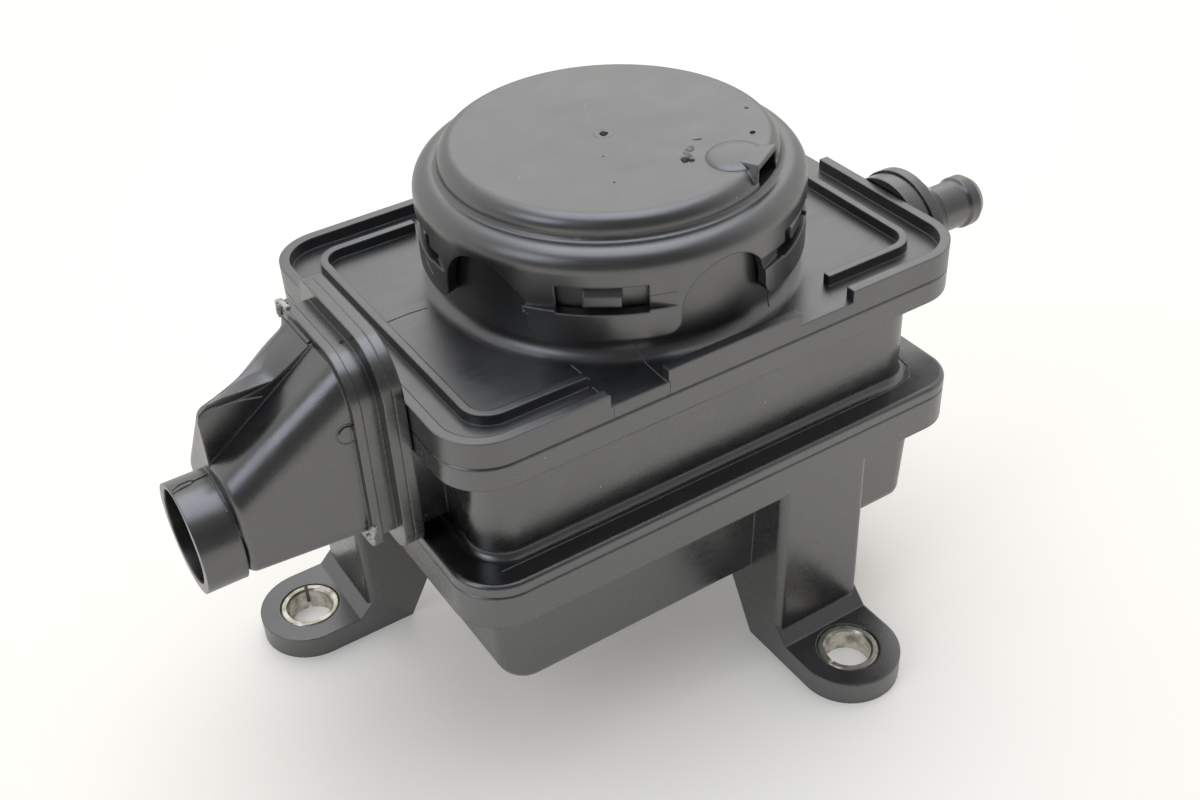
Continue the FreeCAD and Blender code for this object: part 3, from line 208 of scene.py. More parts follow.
def moulded_polyamide(name, black, roughness, run, witness=0.0):
    """Glass-filled polyamide as moulded: satin black that mirrors the table softly, cloudy
    with fibre bloom, drawn along the mould's run, with a spark-eroded grain, a few broken
    hair scratches, edges rubbed pale and specks of dust."""
    finish = bpy.context.scene.separator_finish
    material, tree, shader, place = start_material(name)
    cloud = add_node(tree, "ShaderNodeTexNoise", {
        "Vector": place, "Scale": 1 / finish.mottle, "Detail": 5.0, "Roughness": 0.62})
    drawn_place = add_node(tree, "ShaderNodeMapping", {"Vector": place, "Scale": run})
    drawn = add_node(tree, "ShaderNodeTexNoise", {
        "Vector": drawn_place.outputs["Vector"], "Scale": 1.0, "Detail": 3.0})
    grain = add_node(tree, "ShaderNodeTexNoise", {
        "Vector": place, "Scale": 1 / finish.grain, "Detail": 2.0, "Roughness": 0.7})
    bloom = add_node(tree, "ShaderNodeMapRange", {
        "Value": cloud.outputs["Fac"], "From Min": 0.42, "From Max": 0.72,
        "To Min": 0.0, "To Max": 0.5})
    body = add_node(tree, "ShaderNodeMix", {
        "Factor": bloom.outputs["Result"], "A": black, "B": finish.bloom_grey}, data_type="RGBA")
    # hair scratches: cell borders 23 mm apart, about 0.1 mm wide, kept only where a cloud is high
    borders = add_node(tree, "ShaderNodeTexVoronoi", {
        "Vector": place, "Scale": 1 / (23 * MM)}, feature="DISTANCE_TO_EDGE")
    hair = add_node(tree, "ShaderNodeMath", {
        0: borders.outputs["Distance"], 1: 0.0022}, operation="LESS_THAN")
    broken = add_node(tree, "ShaderNodeMapRange", {
        "Value": cloud.outputs["Fac"], "From Min": 0.52, "From Max": 0.6,
        "To Min": 0.0, "To Max": 0.2})
    scratch = add_node(tree, "ShaderNodeMath", {
        0: hair.outputs["Value"], 1: broken.outputs["Result"]}, operation="MULTIPLY")
    soft_edge = add_node(tree, "ShaderNodeBevel", {"Radius": 0.45 * MM}, samples=4)
    true_side = add_node(tree, "ShaderNodeNewGeometry")
    facing = add_node(tree, "ShaderNodeVectorMath", {
        0: soft_edge.outputs["Normal"], 1: true_side.outputs["Normal"]}, operation="DOT_PRODUCT")
    edge = add_node(tree, "ShaderNodeMapRange", {
        "Value": facing.outputs["Value"], "From Min": 0.97, "From Max": 0.8,
        "To Min": 0.0, "To Max": 0.2})
    worn = add_node(tree, "ShaderNodeMath", {
        0: edge.outputs["Result"], 1: cloud.outputs["Fac"]}, operation="MULTIPLY")
    rubbed = add_node(tree, "ShaderNodeMath", {
        0: worn.outputs["Value"], 1: scratch.outputs["Value"]}, operation="MAXIMUM")
    scuffed = add_node(tree, "ShaderNodeMix", {
        "Factor": rubbed.outputs["Value"], "A": body.outputs["Result"], "B": finish.rub_grey},
        data_type="RGBA")
    cells = add_node(tree, "ShaderNodeTexVoronoi", {
        "Vector": place, "Scale": 1 / finish.dust_pitch})
    rare = add_node(tree, "ShaderNodeSeparateColor", {"Color": cells.outputs["Color"]})
    speck_size = add_node(tree, "ShaderNodeMapRange", {
        "Value": rare.outputs["Red"], "From Min": 0.6, "From Max": 1.0,
        "To Min": 0.0, "To Max": 0.04})
    speck = add_node(tree, "ShaderNodeMath", {
        0: cells.outputs["Distance"], 1: speck_size.outputs["Result"]}, operation="LESS_THAN")
    dusty = add_node(tree, "ShaderNodeMix", {
        "Factor": speck.outputs["Value"], "A": scuffed.outputs["Result"], "B": finish.dust_white},
        data_type="RGBA")
    tree.links.new(dusty.outputs["Result"], shader.inputs["Base Color"])
    patch = add_node(tree, "ShaderNodeMapRange", {
        "Value": cloud.outputs["Fac"], "From Min": 0.3, "From Max": 0.7,
        "To Min": roughness - 0.03, "To Max": roughness + 0.05})
    streak = add_node(tree, "ShaderNodeMapRange", {
        "Value": drawn.outputs["Fac"], "From Min": 0.3, "From Max": 0.7,
        "To Min": -0.025, "To Max": 0.025})
    rough = add_node(tree, "ShaderNodeMath", {
        0: patch.outputs["Result"], 1: streak.outputs["Result"]}, operation="ADD")
    height = add_node(tree, "ShaderNodeMath", {
        0: drawn.outputs["Fac"], 1: 0.35, 2: grain.outputs["Fac"]}, operation="MULTIPLY_ADD")
    if witness:
        # the gate's ring: a faint round step, 0.5 mm wide, about the cap's axis
        flat = add_node(tree, "ShaderNodeMapping", {
            "Vector": place, "Location": (-AXIS.x, -AXIS.y, 0.0), "Scale": (1.0, 1.0, 0.0)})
        reach = add_node(tree, "ShaderNodeVectorMath", {
            0: flat.outputs["Vector"]}, operation="LENGTH")
        inside = add_node(tree, "ShaderNodeMapRange", {
            "Value": reach.outputs["Value"], "From Min": witness - 0.25 * MM,
            "From Max": witness + 0.25 * MM, "To Min": 0.02, "To Max": 0.0})
        rough = add_node(tree, "ShaderNodeMath", {
            0: rough.outputs["Value"], 1: inside.outputs["Result"]}, operation="ADD")
        step = add_node(tree, "ShaderNodeMath", {
            0: inside.outputs["Result"], 1: 60.0}, operation="MULTIPLY")
        height = add_node(tree, "ShaderNodeMath", {
            0: height.outputs["Value"], 1: step.outputs["Value"]}, operation="ADD")
    tree.links.new(rough.outputs["Value"], shader.inputs["Roughness"])
    bump = add_node(tree, "ShaderNodeBump", {
        "Height": height.outputs["Value"], "Strength": 0.1, "Distance": 0.05 * MM,
        "Normal": soft_edge.outputs["Normal"]})
    tree.links.new(bump.outputs["Normal"], shader.inputs["Normal"])
    shader.inputs["IOR"].default_value = MOULDED_IOR
    return material


def torn_polyamide(name, tint, pits, roughness):
    """Polyamide that was torn, melted or squeezed out: uneven, pitted and duller than the
    moulded skin around it."""
    material, tree, shader, place = start_material(name)
    finish = bpy.context.scene.separator_finish
    cells = add_node(tree, "ShaderNodeTexVoronoi", {"Vector": place, "Scale": 1 / (0.9 * MM)})
    pit = add_node(tree, "ShaderNodeMapRange", {
        "Value": cells.outputs["Distance"], "From Min": 0.1, "From Max": 0.3,
        "To Min": pits, "To Max": 0.0})
    lumps = add_node(tree, "ShaderNodeTexNoise", {
        "Vector": place, "Scale": 1 / (0.5 * MM), "Detail": 3.0})
    tone = add_node(tree, "ShaderNodeMix", {
        "Factor": pit.outputs["Result"], "A": tint, "B": finish.line_and_shade_black}, data_type="RGBA")
    tree.links.new(tone.outputs["Result"], shader.inputs["Base Color"])
    rough = add_node(tree, "ShaderNodeMapRange", {
        "Value": lumps.outputs["Fac"], "From Min": 0.3, "From Max": 0.7,
        "To Min": roughness - 0.1, "To Max": roughness + 0.1})
    tree.links.new(rough.outputs["Result"], shader.inputs["Roughness"])
    bump = add_node(tree, "ShaderNodeBump", {
        "Height": lumps.outputs["Fac"], "Strength": 0.5, "Distance": 0.12 * MM})
    tree.links.new(bump.outputs["Normal"], shader.inputs["Normal"])
    return material


def plated_steel(name):
    """Zinc-plated, rolled and slit steel: bright, dulled in patches, with rolling marks."""
    finish = bpy.context.scene.separator_finish
    material, tree, shader, place = start_material(name)
    stain = add_node(tree, "ShaderNodeTexNoise", {
        "Vector": place, "Scale": 1 / (2.2 * MM), "Detail": 4.0})
    stain_part = add_node(tree, "ShaderNodeMapRange", {
        "Value": stain.outputs["Fac"], "From Min": 0.42, "From Max": 0.68})
    tint = add_node(tree, "ShaderNodeMix", {
        "Factor": stain_part.outputs["Result"], "A": finish.zinc, "B": finish.zinc_dull},
        data_type="RGBA")
    tree.links.new(tint.outputs["Result"], shader.inputs["Base Color"])
    rough = add_node(tree, "ShaderNodeMapRange", {
        "Value": stain.outputs["Fac"], "From Min": 0.3, "From Max": 0.7,
        "To Min": 0.24, "To Max": 0.42})
    tree.links.new(rough.outputs["Result"], shader.inputs["Roughness"])
    rolled_place = add_node(tree, "ShaderNodeMapping", {
        "Vector": place, "Scale": (1 / (1.6 * MM), 1 / (1.6 * MM), 1 / (0.18 * MM))})
    rolled = add_node(tree, "ShaderNodeTexNoise", {
        "Vector": rolled_place.outputs["Vector"], "Scale": 1.0, "Detail": 2.0})
    bump = add_node(tree, "ShaderNodeBump", {
        "Height": rolled.outputs["Fac"], "Strength": 0.25, "Distance": 0.04 * MM})
    tree.links.new(bump.outputs["Normal"], shader.inputs["Normal"])
    shader.inputs["Metallic"].default_value = 1.0
    return material


def drawn_wire(name):
    """Spring steel wire, drawn and oiled: grey metal with draw lines and darker oil films."""
    finish = bpy.context.scene.separator_finish
    material, tree, shader, place = start_material(name)
    film = add_node(tree, "ShaderNodeTexNoise", {
        "Vector": place, "Scale": 1 / (3 * MM), "Detail": 3.0})
    dark = add_node(tree, "ShaderNodeMapRange", {
        "Value": film.outputs["Fac"], "From Min": 0.45, "From Max": 0.7,
        "To Min": 0.0, "To Max": 0.6})
    tint = add_node(tree, "ShaderNodeMix", {
        "Factor": dark.outputs["Result"], "A": finish.spring_grey, "B": finish.zinc_dull},
        data_type="RGBA")
    tree.links.new(tint.outputs["Result"], shader.inputs["Base Color"])
    lines = add_node(tree, "ShaderNodeMapping", {
        "Vector": place, "Scale": (1 / (2.5 * MM), 1 / (2.5 * MM), 1 / (0.15 * MM))})
    draw = add_node(tree, "ShaderNodeTexNoise", {
        "Vector": lines.outputs["Vector"], "Scale": 1.0, "Detail": 1.0})
    rough = add_node(tree, "ShaderNodeMapRange", {
        "Value": draw.outputs["Fac"], "From Min": 0.3, "From Max": 0.7,
        "To Min": 0.22, "To Max": 0.38})
    tree.links.new(rough.outputs["Result"], shader.inputs["Roughness"])
    bump = add_node(tree, "ShaderNodeBump", {
        "Height": draw.outputs["Fac"], "Strength": 0.2, "Distance": 0.03 * MM})
    tree.links.new(bump.outputs["Normal"], shader.inputs["Normal"])
    shader.inputs["Metallic"].default_value = 1.0
    return material


def vulcanised_rubber(name):
    """Moulded fluorosilicone rubber: matt black, with a grey bloom of wax and a fine grain."""
    finish = bpy.context.scene.separator_finish
    material, tree, shader, place = start_material(name)
    wax = add_node(tree, "ShaderNodeTexNoise", {
        "Vector": place, "Scale": 1 / (4 * MM), "Detail": 4.0})
    part = add_node(tree, "ShaderNodeMapRange", {
        "Value": wax.outputs["Fac"], "From Min": 0.4, "From Max": 0.7})
    tint = add_node(tree, "ShaderNodeMix", {
        "Factor": part.outputs["Result"], "A": finish.rubber_black, "B": finish.rubber_bloom},
        data_type="RGBA")
    tree.links.new(tint.outputs["Result"], shader.inputs["Base Color"])
    rough = add_node(tree, "ShaderNodeMapRange", {
        "Value": wax.outputs["Fac"], "From Min": 0.3, "From Max": 0.7,
        "To Min": 0.55, "To Max": 0.75})
    tree.links.new(rough.outputs["Result"], shader.inputs["Roughness"])
    grain = add_node(tree, "ShaderNodeTexNoise", {
        "Vector": place, "Scale": 1 / (0.25 * MM), "Detail": 2.0})
    bump = add_node(tree, "ShaderNodeBump", {
        "Height": grain.outputs["Fac"], "Strength": 0.3, "Distance": 0.03 * MM})
    tree.links.new(bump.outputs["Normal"], shader.inputs["Normal"])
    return material


def natural_polyamide(name):
    """Unfilled polyamide in its own cream colour: waxy, a little see-through, with oil stains
    and the rings that turning left in the mould."""
    finish = bpy.context.scene.separator_finish
    material, tree, shader, place = start_material(name)
    oil = add_node(tree, "ShaderNodeTexNoise", {
        "Vector": place, "Scale": 1 / (5 * MM), "Detail": 4.0})
    stain = add_node(tree, "ShaderNodeMapRange", {
        "Value": oil.outputs["Fac"], "From Min": 0.5, "From Max": 0.75,
        "To Min": 0.0, "To Max": 0.5})
    tint = add_node(tree, "ShaderNodeMix", {
        "Factor": stain.outputs["Result"], "A": finish.plate_cream, "B": finish.zinc_dull},
        data_type="RGBA")
    tree.links.new(tint.outputs["Result"], shader.inputs["Base Color"])
    rough = add_node(tree, "ShaderNodeMapRange", {
        "Value": oil.outputs["Fac"], "From Min": 0.3, "From Max": 0.7,
        "To Min": 0.34, "To Max": 0.5})
    tree.links.new(rough.outputs["Result"], shader.inputs["Roughness"])
    centred = add_node(tree, "ShaderNodeMapping", {
        "Vector": place, "Location": (-AXIS.x, -AXIS.y, 0.0)})
    rings = add_node(tree, "ShaderNodeTexWave", {
        "Vector": centred.outputs["Vector"], "Scale": 0.05 / (0.35 * MM)},
        wave_type="RINGS", rings_direction="Z")
    bump = add_node(tree, "ShaderNodeBump", {
        "Height": rings.outputs["Fac"], "Strength": 0.2, "Distance": 0.02 * MM})
    tree.links.new(bump.outputs["Normal"], shader.inputs["Normal"])
    shader.inputs["Subsurface Weight"].default_value = 0.1
    shader.inputs["Subsurface Radius"].default_value = (1.2 * MM, 1.0 * MM, 0.7 * MM)
    shader.inputs["Subsurface Scale"].default_value = 1.0
    return material


def dress(node, material):
    """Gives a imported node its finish."""
    for slot in NODES[node].material_slots:
        slot.material = material


def set_piece(name, shape, material):
    """Makes a mesh object of a shape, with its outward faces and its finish."""
    bmesh.ops.recalc_face_normals(shape, faces=shape.faces)
    for face in shape.faces:
        face.smooth = True
    mesh = bpy.data.meshes.new(name)
    shape.to_mesh(mesh)
    shape.free()
    mesh.set_sharp_from_angle(angle=math.radians(40))
    mesh.materials.append(material)
    piece = bpy.data.objects.new(name, mesh)
    bpy.context.scene.collection.objects.link(piece)
    return piece


def settle(node, points, step):
    """A line of points, in millimetres, divided into short steps and laid on a node's surface."""
    corners = [Vector(p) * MM for p in points]
    laid = []
    for here, there in zip(corners, corners[1:]):
        parts = max(1, round((there - here).length / step))
        laid += [here.lerp(there, i / parts) for i in range(parts)]
    laid.append(corners[-1])
    if node is None:
        return laid
    surface = NODES[node]
    found = [surface.closest_point_on_mesh(p) for p in laid]
    if not all(hit for hit, *_ in found):
        raise RuntimeError(f"a line finds no surface on {node}")
    return [place for _, place, _, _ in found]


def bead(shape, line, radius, wobble=0.0, seed=1):
    """A thin line of flash: a small ring, extruded from point to point, of uneven width."""
    dice = random.Random(seed)
    line = [p for i, p in enumerate(line) if i == 0 or (p - line[i - 1]).length > 1e-6]
    along = (line[1] - line[0]).normalized()
    first = bmesh.ops.create_circle(shape, cap_ends=True, segments=6, radius=radius)
    ring = first["verts"]
    bmesh.ops.rotate(shape, verts=ring, matrix=along.to_track_quat("Z", "Y").to_matrix())
    bmesh.ops.translate(shape, verts=ring, vec=line[0])
    edges = list({e for v in ring for e in v.link_edges})
    width = 1.0
    for here, there in zip(line, line[1:]):
        grown = bmesh.ops.extrude_edge_only(shape, edges=edges)["geom"]
        ring = [g for g in grown if isinstance(g, bmesh.types.BMVert)]
        members = set(ring)
        edges = [
            g for g in grown
            if isinstance(g, bmesh.types.BMEdge) and members.issuperset(g.verts)
        ]
        bmesh.ops.translate(shape, verts=ring, vec=there - here)
        heading = (there - here).normalized()
        bmesh.ops.rotate(
            shape, verts=ring, cent=there,
            matrix=along.rotation_difference(heading).to_matrix())
        wanted = 1.0 + wobble * dice.uniform(-1.0, 1.0)
        bmesh.ops.scale(
            shape, verts=ring, vec=(wanted / width,) * 3, space=Matrix.Translation(-there))
        along, width = heading, wanted
    bmesh.ops.contextual_create(shape, geom=edges)


def lay_lines(name, node, lines, radius, material, wobble=0.25):
    """One piece from several lines of flash on a node."""
    marks = bpy.context.scene.separator_marks
    shape = bmesh.new()
    for seed, points in enumerate(lines):
        bead(shape, settle(node, points, marks.step), radius, wobble, seed)
    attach(set_piece(name, shape, material), "casing")


def lump(shape, node, place, size, seed):
    """A torn crumb of plastic on a node: a small ball, pushed out of round and flattened."""
    dice = random.Random(seed)
    (foot,) = settle(node, [place], MM)
    ball = bmesh.ops.create_icosphere(shape, subdivisions=2, radius=1.0)["verts"]
    for vert in ball:
        vert.co *= 1.0 + 0.28 * dice.uniform(-1.0, 1.0)
    bmesh.ops.scale(shape, verts=ball, vec=Vector(size) * MM)
    bmesh.ops.rotate(shape, verts=ball, matrix=Matrix.Rotation(dice.uniform(0, 6.28), 3, "Z"))
    bmesh.ops.translate(shape, verts=ball, vec=foot)


def ring_of(shape, centre, axis, profile, steps=48):
    """A turned ring: a few (radius, height) corners in millimetres, spun about an axis."""
    corners = [shape.verts.new((r * MM, 0.0, h * MM)) for r, h in profile]
    edges = [shape.edges.new(pair) for pair in zip(corners, corners[1:])]
    edges.append(shape.edges.new((corners[-1], corners[0])))
    before = set(shape.verts) - set(corners)
    bmesh.ops.spin(
        shape, geom=corners + edges, cent=(0, 0, 0), axis=(0, 0, 1), angle=math.tau,
        steps=steps, use_merge=True)
    made = [v for v in shape.verts if v not in before]
    bmesh.ops.remove_doubles(shape, verts=made, dist=1e-7)
    made = [v for v in shape.verts if v not in before]
    turn = Vector(axis).to_track_quat("Z", "Y").to_matrix()
    bmesh.ops.rotate(shape, verts=made, matrix=turn)
    bmesh.ops.translate(shape, verts=made, vec=Vector(centre) * MM)


def flange_loop(low, high, corner, level):
    """The closed outline of a flange, in millimetres: straight sides and round corners."""
    line = []
    for x, y, start in (
        (high[0], low[1], -90), (high[0], high[1], 0),
        (low[0], high[1], 90), (low[0], low[1], 180),
    ):
        cx = x - math.copysign(corner, x)
        cy = y - math.copysign(corner, y)
        for i in range(9):
            angle = math.radians(start + 90 * i / 8)
            line.append((cx + corner * math.cos(angle), cy + corner * math.sin(angle), level))
    return line + line[:1]


class SEPARATOR_OT_casing(bpy.types.Operator):
    """Finishes the tray, the box and the insert, and lays the bead at the wall's foot"""

    bl_idname = "separator.casing"
    bl_label = "Casing"

    def execute(self, context):
        finish = context.scene.separator_finish
        marks = context.scene.separator_marks
        along_wall = (1 / (9 * MM), 1 / (9 * MM), 1 / (0.9 * MM))
        plastic = moulded_polyamide(
            "casing_polyamide", finish.casing_black, finish.casing_rough, along_wall)
        for node in ("sump_tray", "separator_housing", "separator_insert"):
            dress(node, plastic)
        # the bead at the wall's foot is tinted pale: a painted highlight along the foot's fillet
        flash = torn_polyamide("mould_flash_painted_highlight", finish.flash_highlight_grey, 0.25, 0.35)
        foot = [
            [(-37.0, -32.0, 49.8), (46.0, -32.0, 49.8), (49.6, -31.0, 49.8),
             (51.6, -28.4, 49.8), (52.2, -24.5, 49.8), (52.2, 24.0, 49.8)],
        ]
        lay_lines("wall_foot_flash_painted_highlight", "separator_housing", foot, 0.8 * marks.ridge, flash,
                  0.2)
        return {"FINISHED"}


class SEPARATOR_OT_cover(bpy.types.Operator):
    """Finishes the lid and lays its parting lines and the flash of its weld"""

    bl_idname = "separator.cover"
    bl_label = "Cover"

    def execute(self, context):
        finish = context.scene.separator_finish
        marks = context.scene.separator_marks
        along_lid = (1 / (11 * MM), 1 / (0.7 * MM), 1 / (3 * MM))
        dress("top_cover", moulded_polyamide(
            "cover_polyamide", finish.cover_black, finish.cover_rough, along_lid))
        # the parting flash is tinted pale: a painted highlight where its thin edge catches the
        # light
        flash = torn_polyamide("cover_flash_painted_highlight", finish.flash_highlight_grey, 0.25, 0.35)
        raised = [
            [(-16.9, -23.3, 76.4), (-16.6, -28.2, 76.4)],
            [(-17.3, -30.0, 76.4), (-17.3, -35.9, 76.4)],
            [(-17.2, -36.0, 76.0), (-17.2, -36.0, 74.3)],
            [(-7.4, -27.5, 78.7), (-7.3, -27.8, 77.7), (-7.2, -28.5, 77.1),
             (-7.1, -29.2, 76.7), (-7.2, -30.9, 76.4), (-7.3, -35.9, 76.4)],
            [(-6.8, -36.0, 76.4), (-6.8, -36.0, 74.3)],
            [(18.4, -28.0, 80.0), (18.1, -28.3, 78.6), (17.8, -28.7, 77.7), (17.5, -29.3, 77.0)],
        ]
        lay_lines("cover_parting_flash_painted_highlight", "top_cover", raised, marks.hair, flash)
        dark = torn_polyamide("cover_line", finish.line_and_shade_black, 0.0, 0.5)
        lay_lines("cover_open_line", "top_cover",
                  [[(-35.6, 5.0, 76.4), (-31.0, 5.2, 76.4), (-27.6, 4.9, 76.4)]],
                  0.8 * marks.hair, dark)
        melt = torn_polyamide("weld_melt", finish.bloom_grey, 0.4, 0.3)
        low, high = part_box("top_cover")
        inset = 0.28
        right_end, corner, weld_level = 56.25, 9.0, 74.0
        loop = flange_loop(
            (low.x / MM + inset, low.y / MM + inset),
            (right_end - inset, high.y / MM - inset), corner - inset, weld_level)
        shape = bmesh.new()
        bead(shape, settle(None, loop, 0.8 * MM), marks.seam, 0.5, 5)
        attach(set_piece("lid_weld_flash", shape, melt), "casing")
        return {"FINISHED"}


class SEPARATOR_OT_cap(bpy.types.Operator):
    """Finishes the regulator cap, with its gate, its gouge and its knocks"""

    bl_idname = "separator.cap"
    bl_label = "Cap"

    def execute(self, context):
        finish = context.scene.separator_finish
        marks = context.scene.separator_marks
        cloudy = (1 / (5 * MM), 1 / (5 * MM), 1 / (5 * MM))
        cap = moulded_polyamide(
            "cap_polyamide", finish.cap_black, finish.cap_rough, cloudy, finish.witness)
        dress("diaphragm_cap", cap)
        torn = torn_polyamide("torn_cap", finish.line_and_shade_black, 0.0, 0.55)
        shape = bmesh.new()
        ring_of(shape, (5.4, -0.1, 100.2), (0, 0, 1),
                [(0.4, -0.2), (0.55, 0.02), (1.1, 0.09), (1.7, 0.05), (2.3, -0.2)], 32)
        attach(set_piece("gate_dimple", shape, cap), "casing")
        shape = bmesh.new()
        for i, (place, size) in enumerate((
            ((5.5, 0.0, 100.3), (0.55, 0.7, 0.35)), ((5.2, -0.5, 100.25), (0.5, 0.35, 0.3)),
            ((11.0, -15.4, 100.2), (0.75, 0.6, 0.28)), ((10.5, -15.9, 100.2), (0.5, 0.45, 0.22)),
            ((11.5, -16.3, 100.15), (0.45, 0.5, 0.2)), ((16.4, -11.1, 100.2), (0.9, 0.16, 0.08)),
            ((24.9, -14.6, 101.0), (0.5, 0.2, 0.25)), ((19.0, -17.4, 100.2), (0.3, 0.22, 0.15)),
            ((29.6, -6.9, 100.2), (0.4, 0.35, 0.08)), ((1.1, -6.6, 100.2), (0.2, 0.15, 0.08)),
            ((-2.2, -14.8, 100.2), (0.22, 0.15, 0.08)),
        )):
            lump(shape, "diaphragm_cap", place, size, 20 + i)
        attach(set_piece("cap_pits_and_flecks", shape, torn), "casing")
        # the scoop's soft root: a low dome, turned along it, under its flat top
        shape = bmesh.new()
        scoop = math.radians(-59.0)
        reach, level = 22.6 * MM, 99.95 * MM
        dome = bmesh.ops.create_uvsphere(
            shape, u_segments=48, v_segments=24, radius=1.0)["verts"]
        bmesh.ops.scale(shape, verts=dome, vec=Vector((4.9, 5.5, 1.15)) * MM)
        bmesh.ops.rotate(shape, verts=dome, matrix=Matrix.Rotation(scoop, 3, "Z"))
        bmesh.ops.translate(shape, verts=dome, vec=(
            AXIS.x + reach * math.cos(scoop), AXIS.y + reach * math.sin(scoop), level))
        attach(set_piece("scoop_root", shape, cap), "casing")
        # the gouge: a strip of torn skin that widens towards the pit at its end
        shape = bmesh.new()
        dice = random.Random(4)
        for i in range(26):
            along = dice.random()
            across = dice.uniform(-1.0, 1.0) * (0.25 + 0.75 * along)
            lump(shape, "diaphragm_cap",
                 (14.3 - 3.6 * along + 0.75 * across, -12.3 - 3.6 * along - 0.7 * across, 100.2),
                 (0.42, 0.3, 0.13), 60 + i)
        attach(set_piece("cap_gouge", shape, torn_polyamide(
            "gouged_cap", finish.rub_grey, 0.95, 0.5)), "casing")
        rub = torn_polyamide("rubbed_cap", finish.rub_grey, 0.3, 0.5)
        scars = [
            [(-26.6, 5.6, 85.4), (-26.7, 4.0, 84.2), (-26.3, 2.4, 83.6)],
            [(-22.5, -15.6, 86.0), (-21.8, -17.0, 85.4), (-20.9, -18.4, 85.2)],
        ]
        lay_lines("skirt_scars", "diaphragm_cap", scars, 1.2 * marks.ridge, rub,
                  0.6)
        return {"FINISHED"}


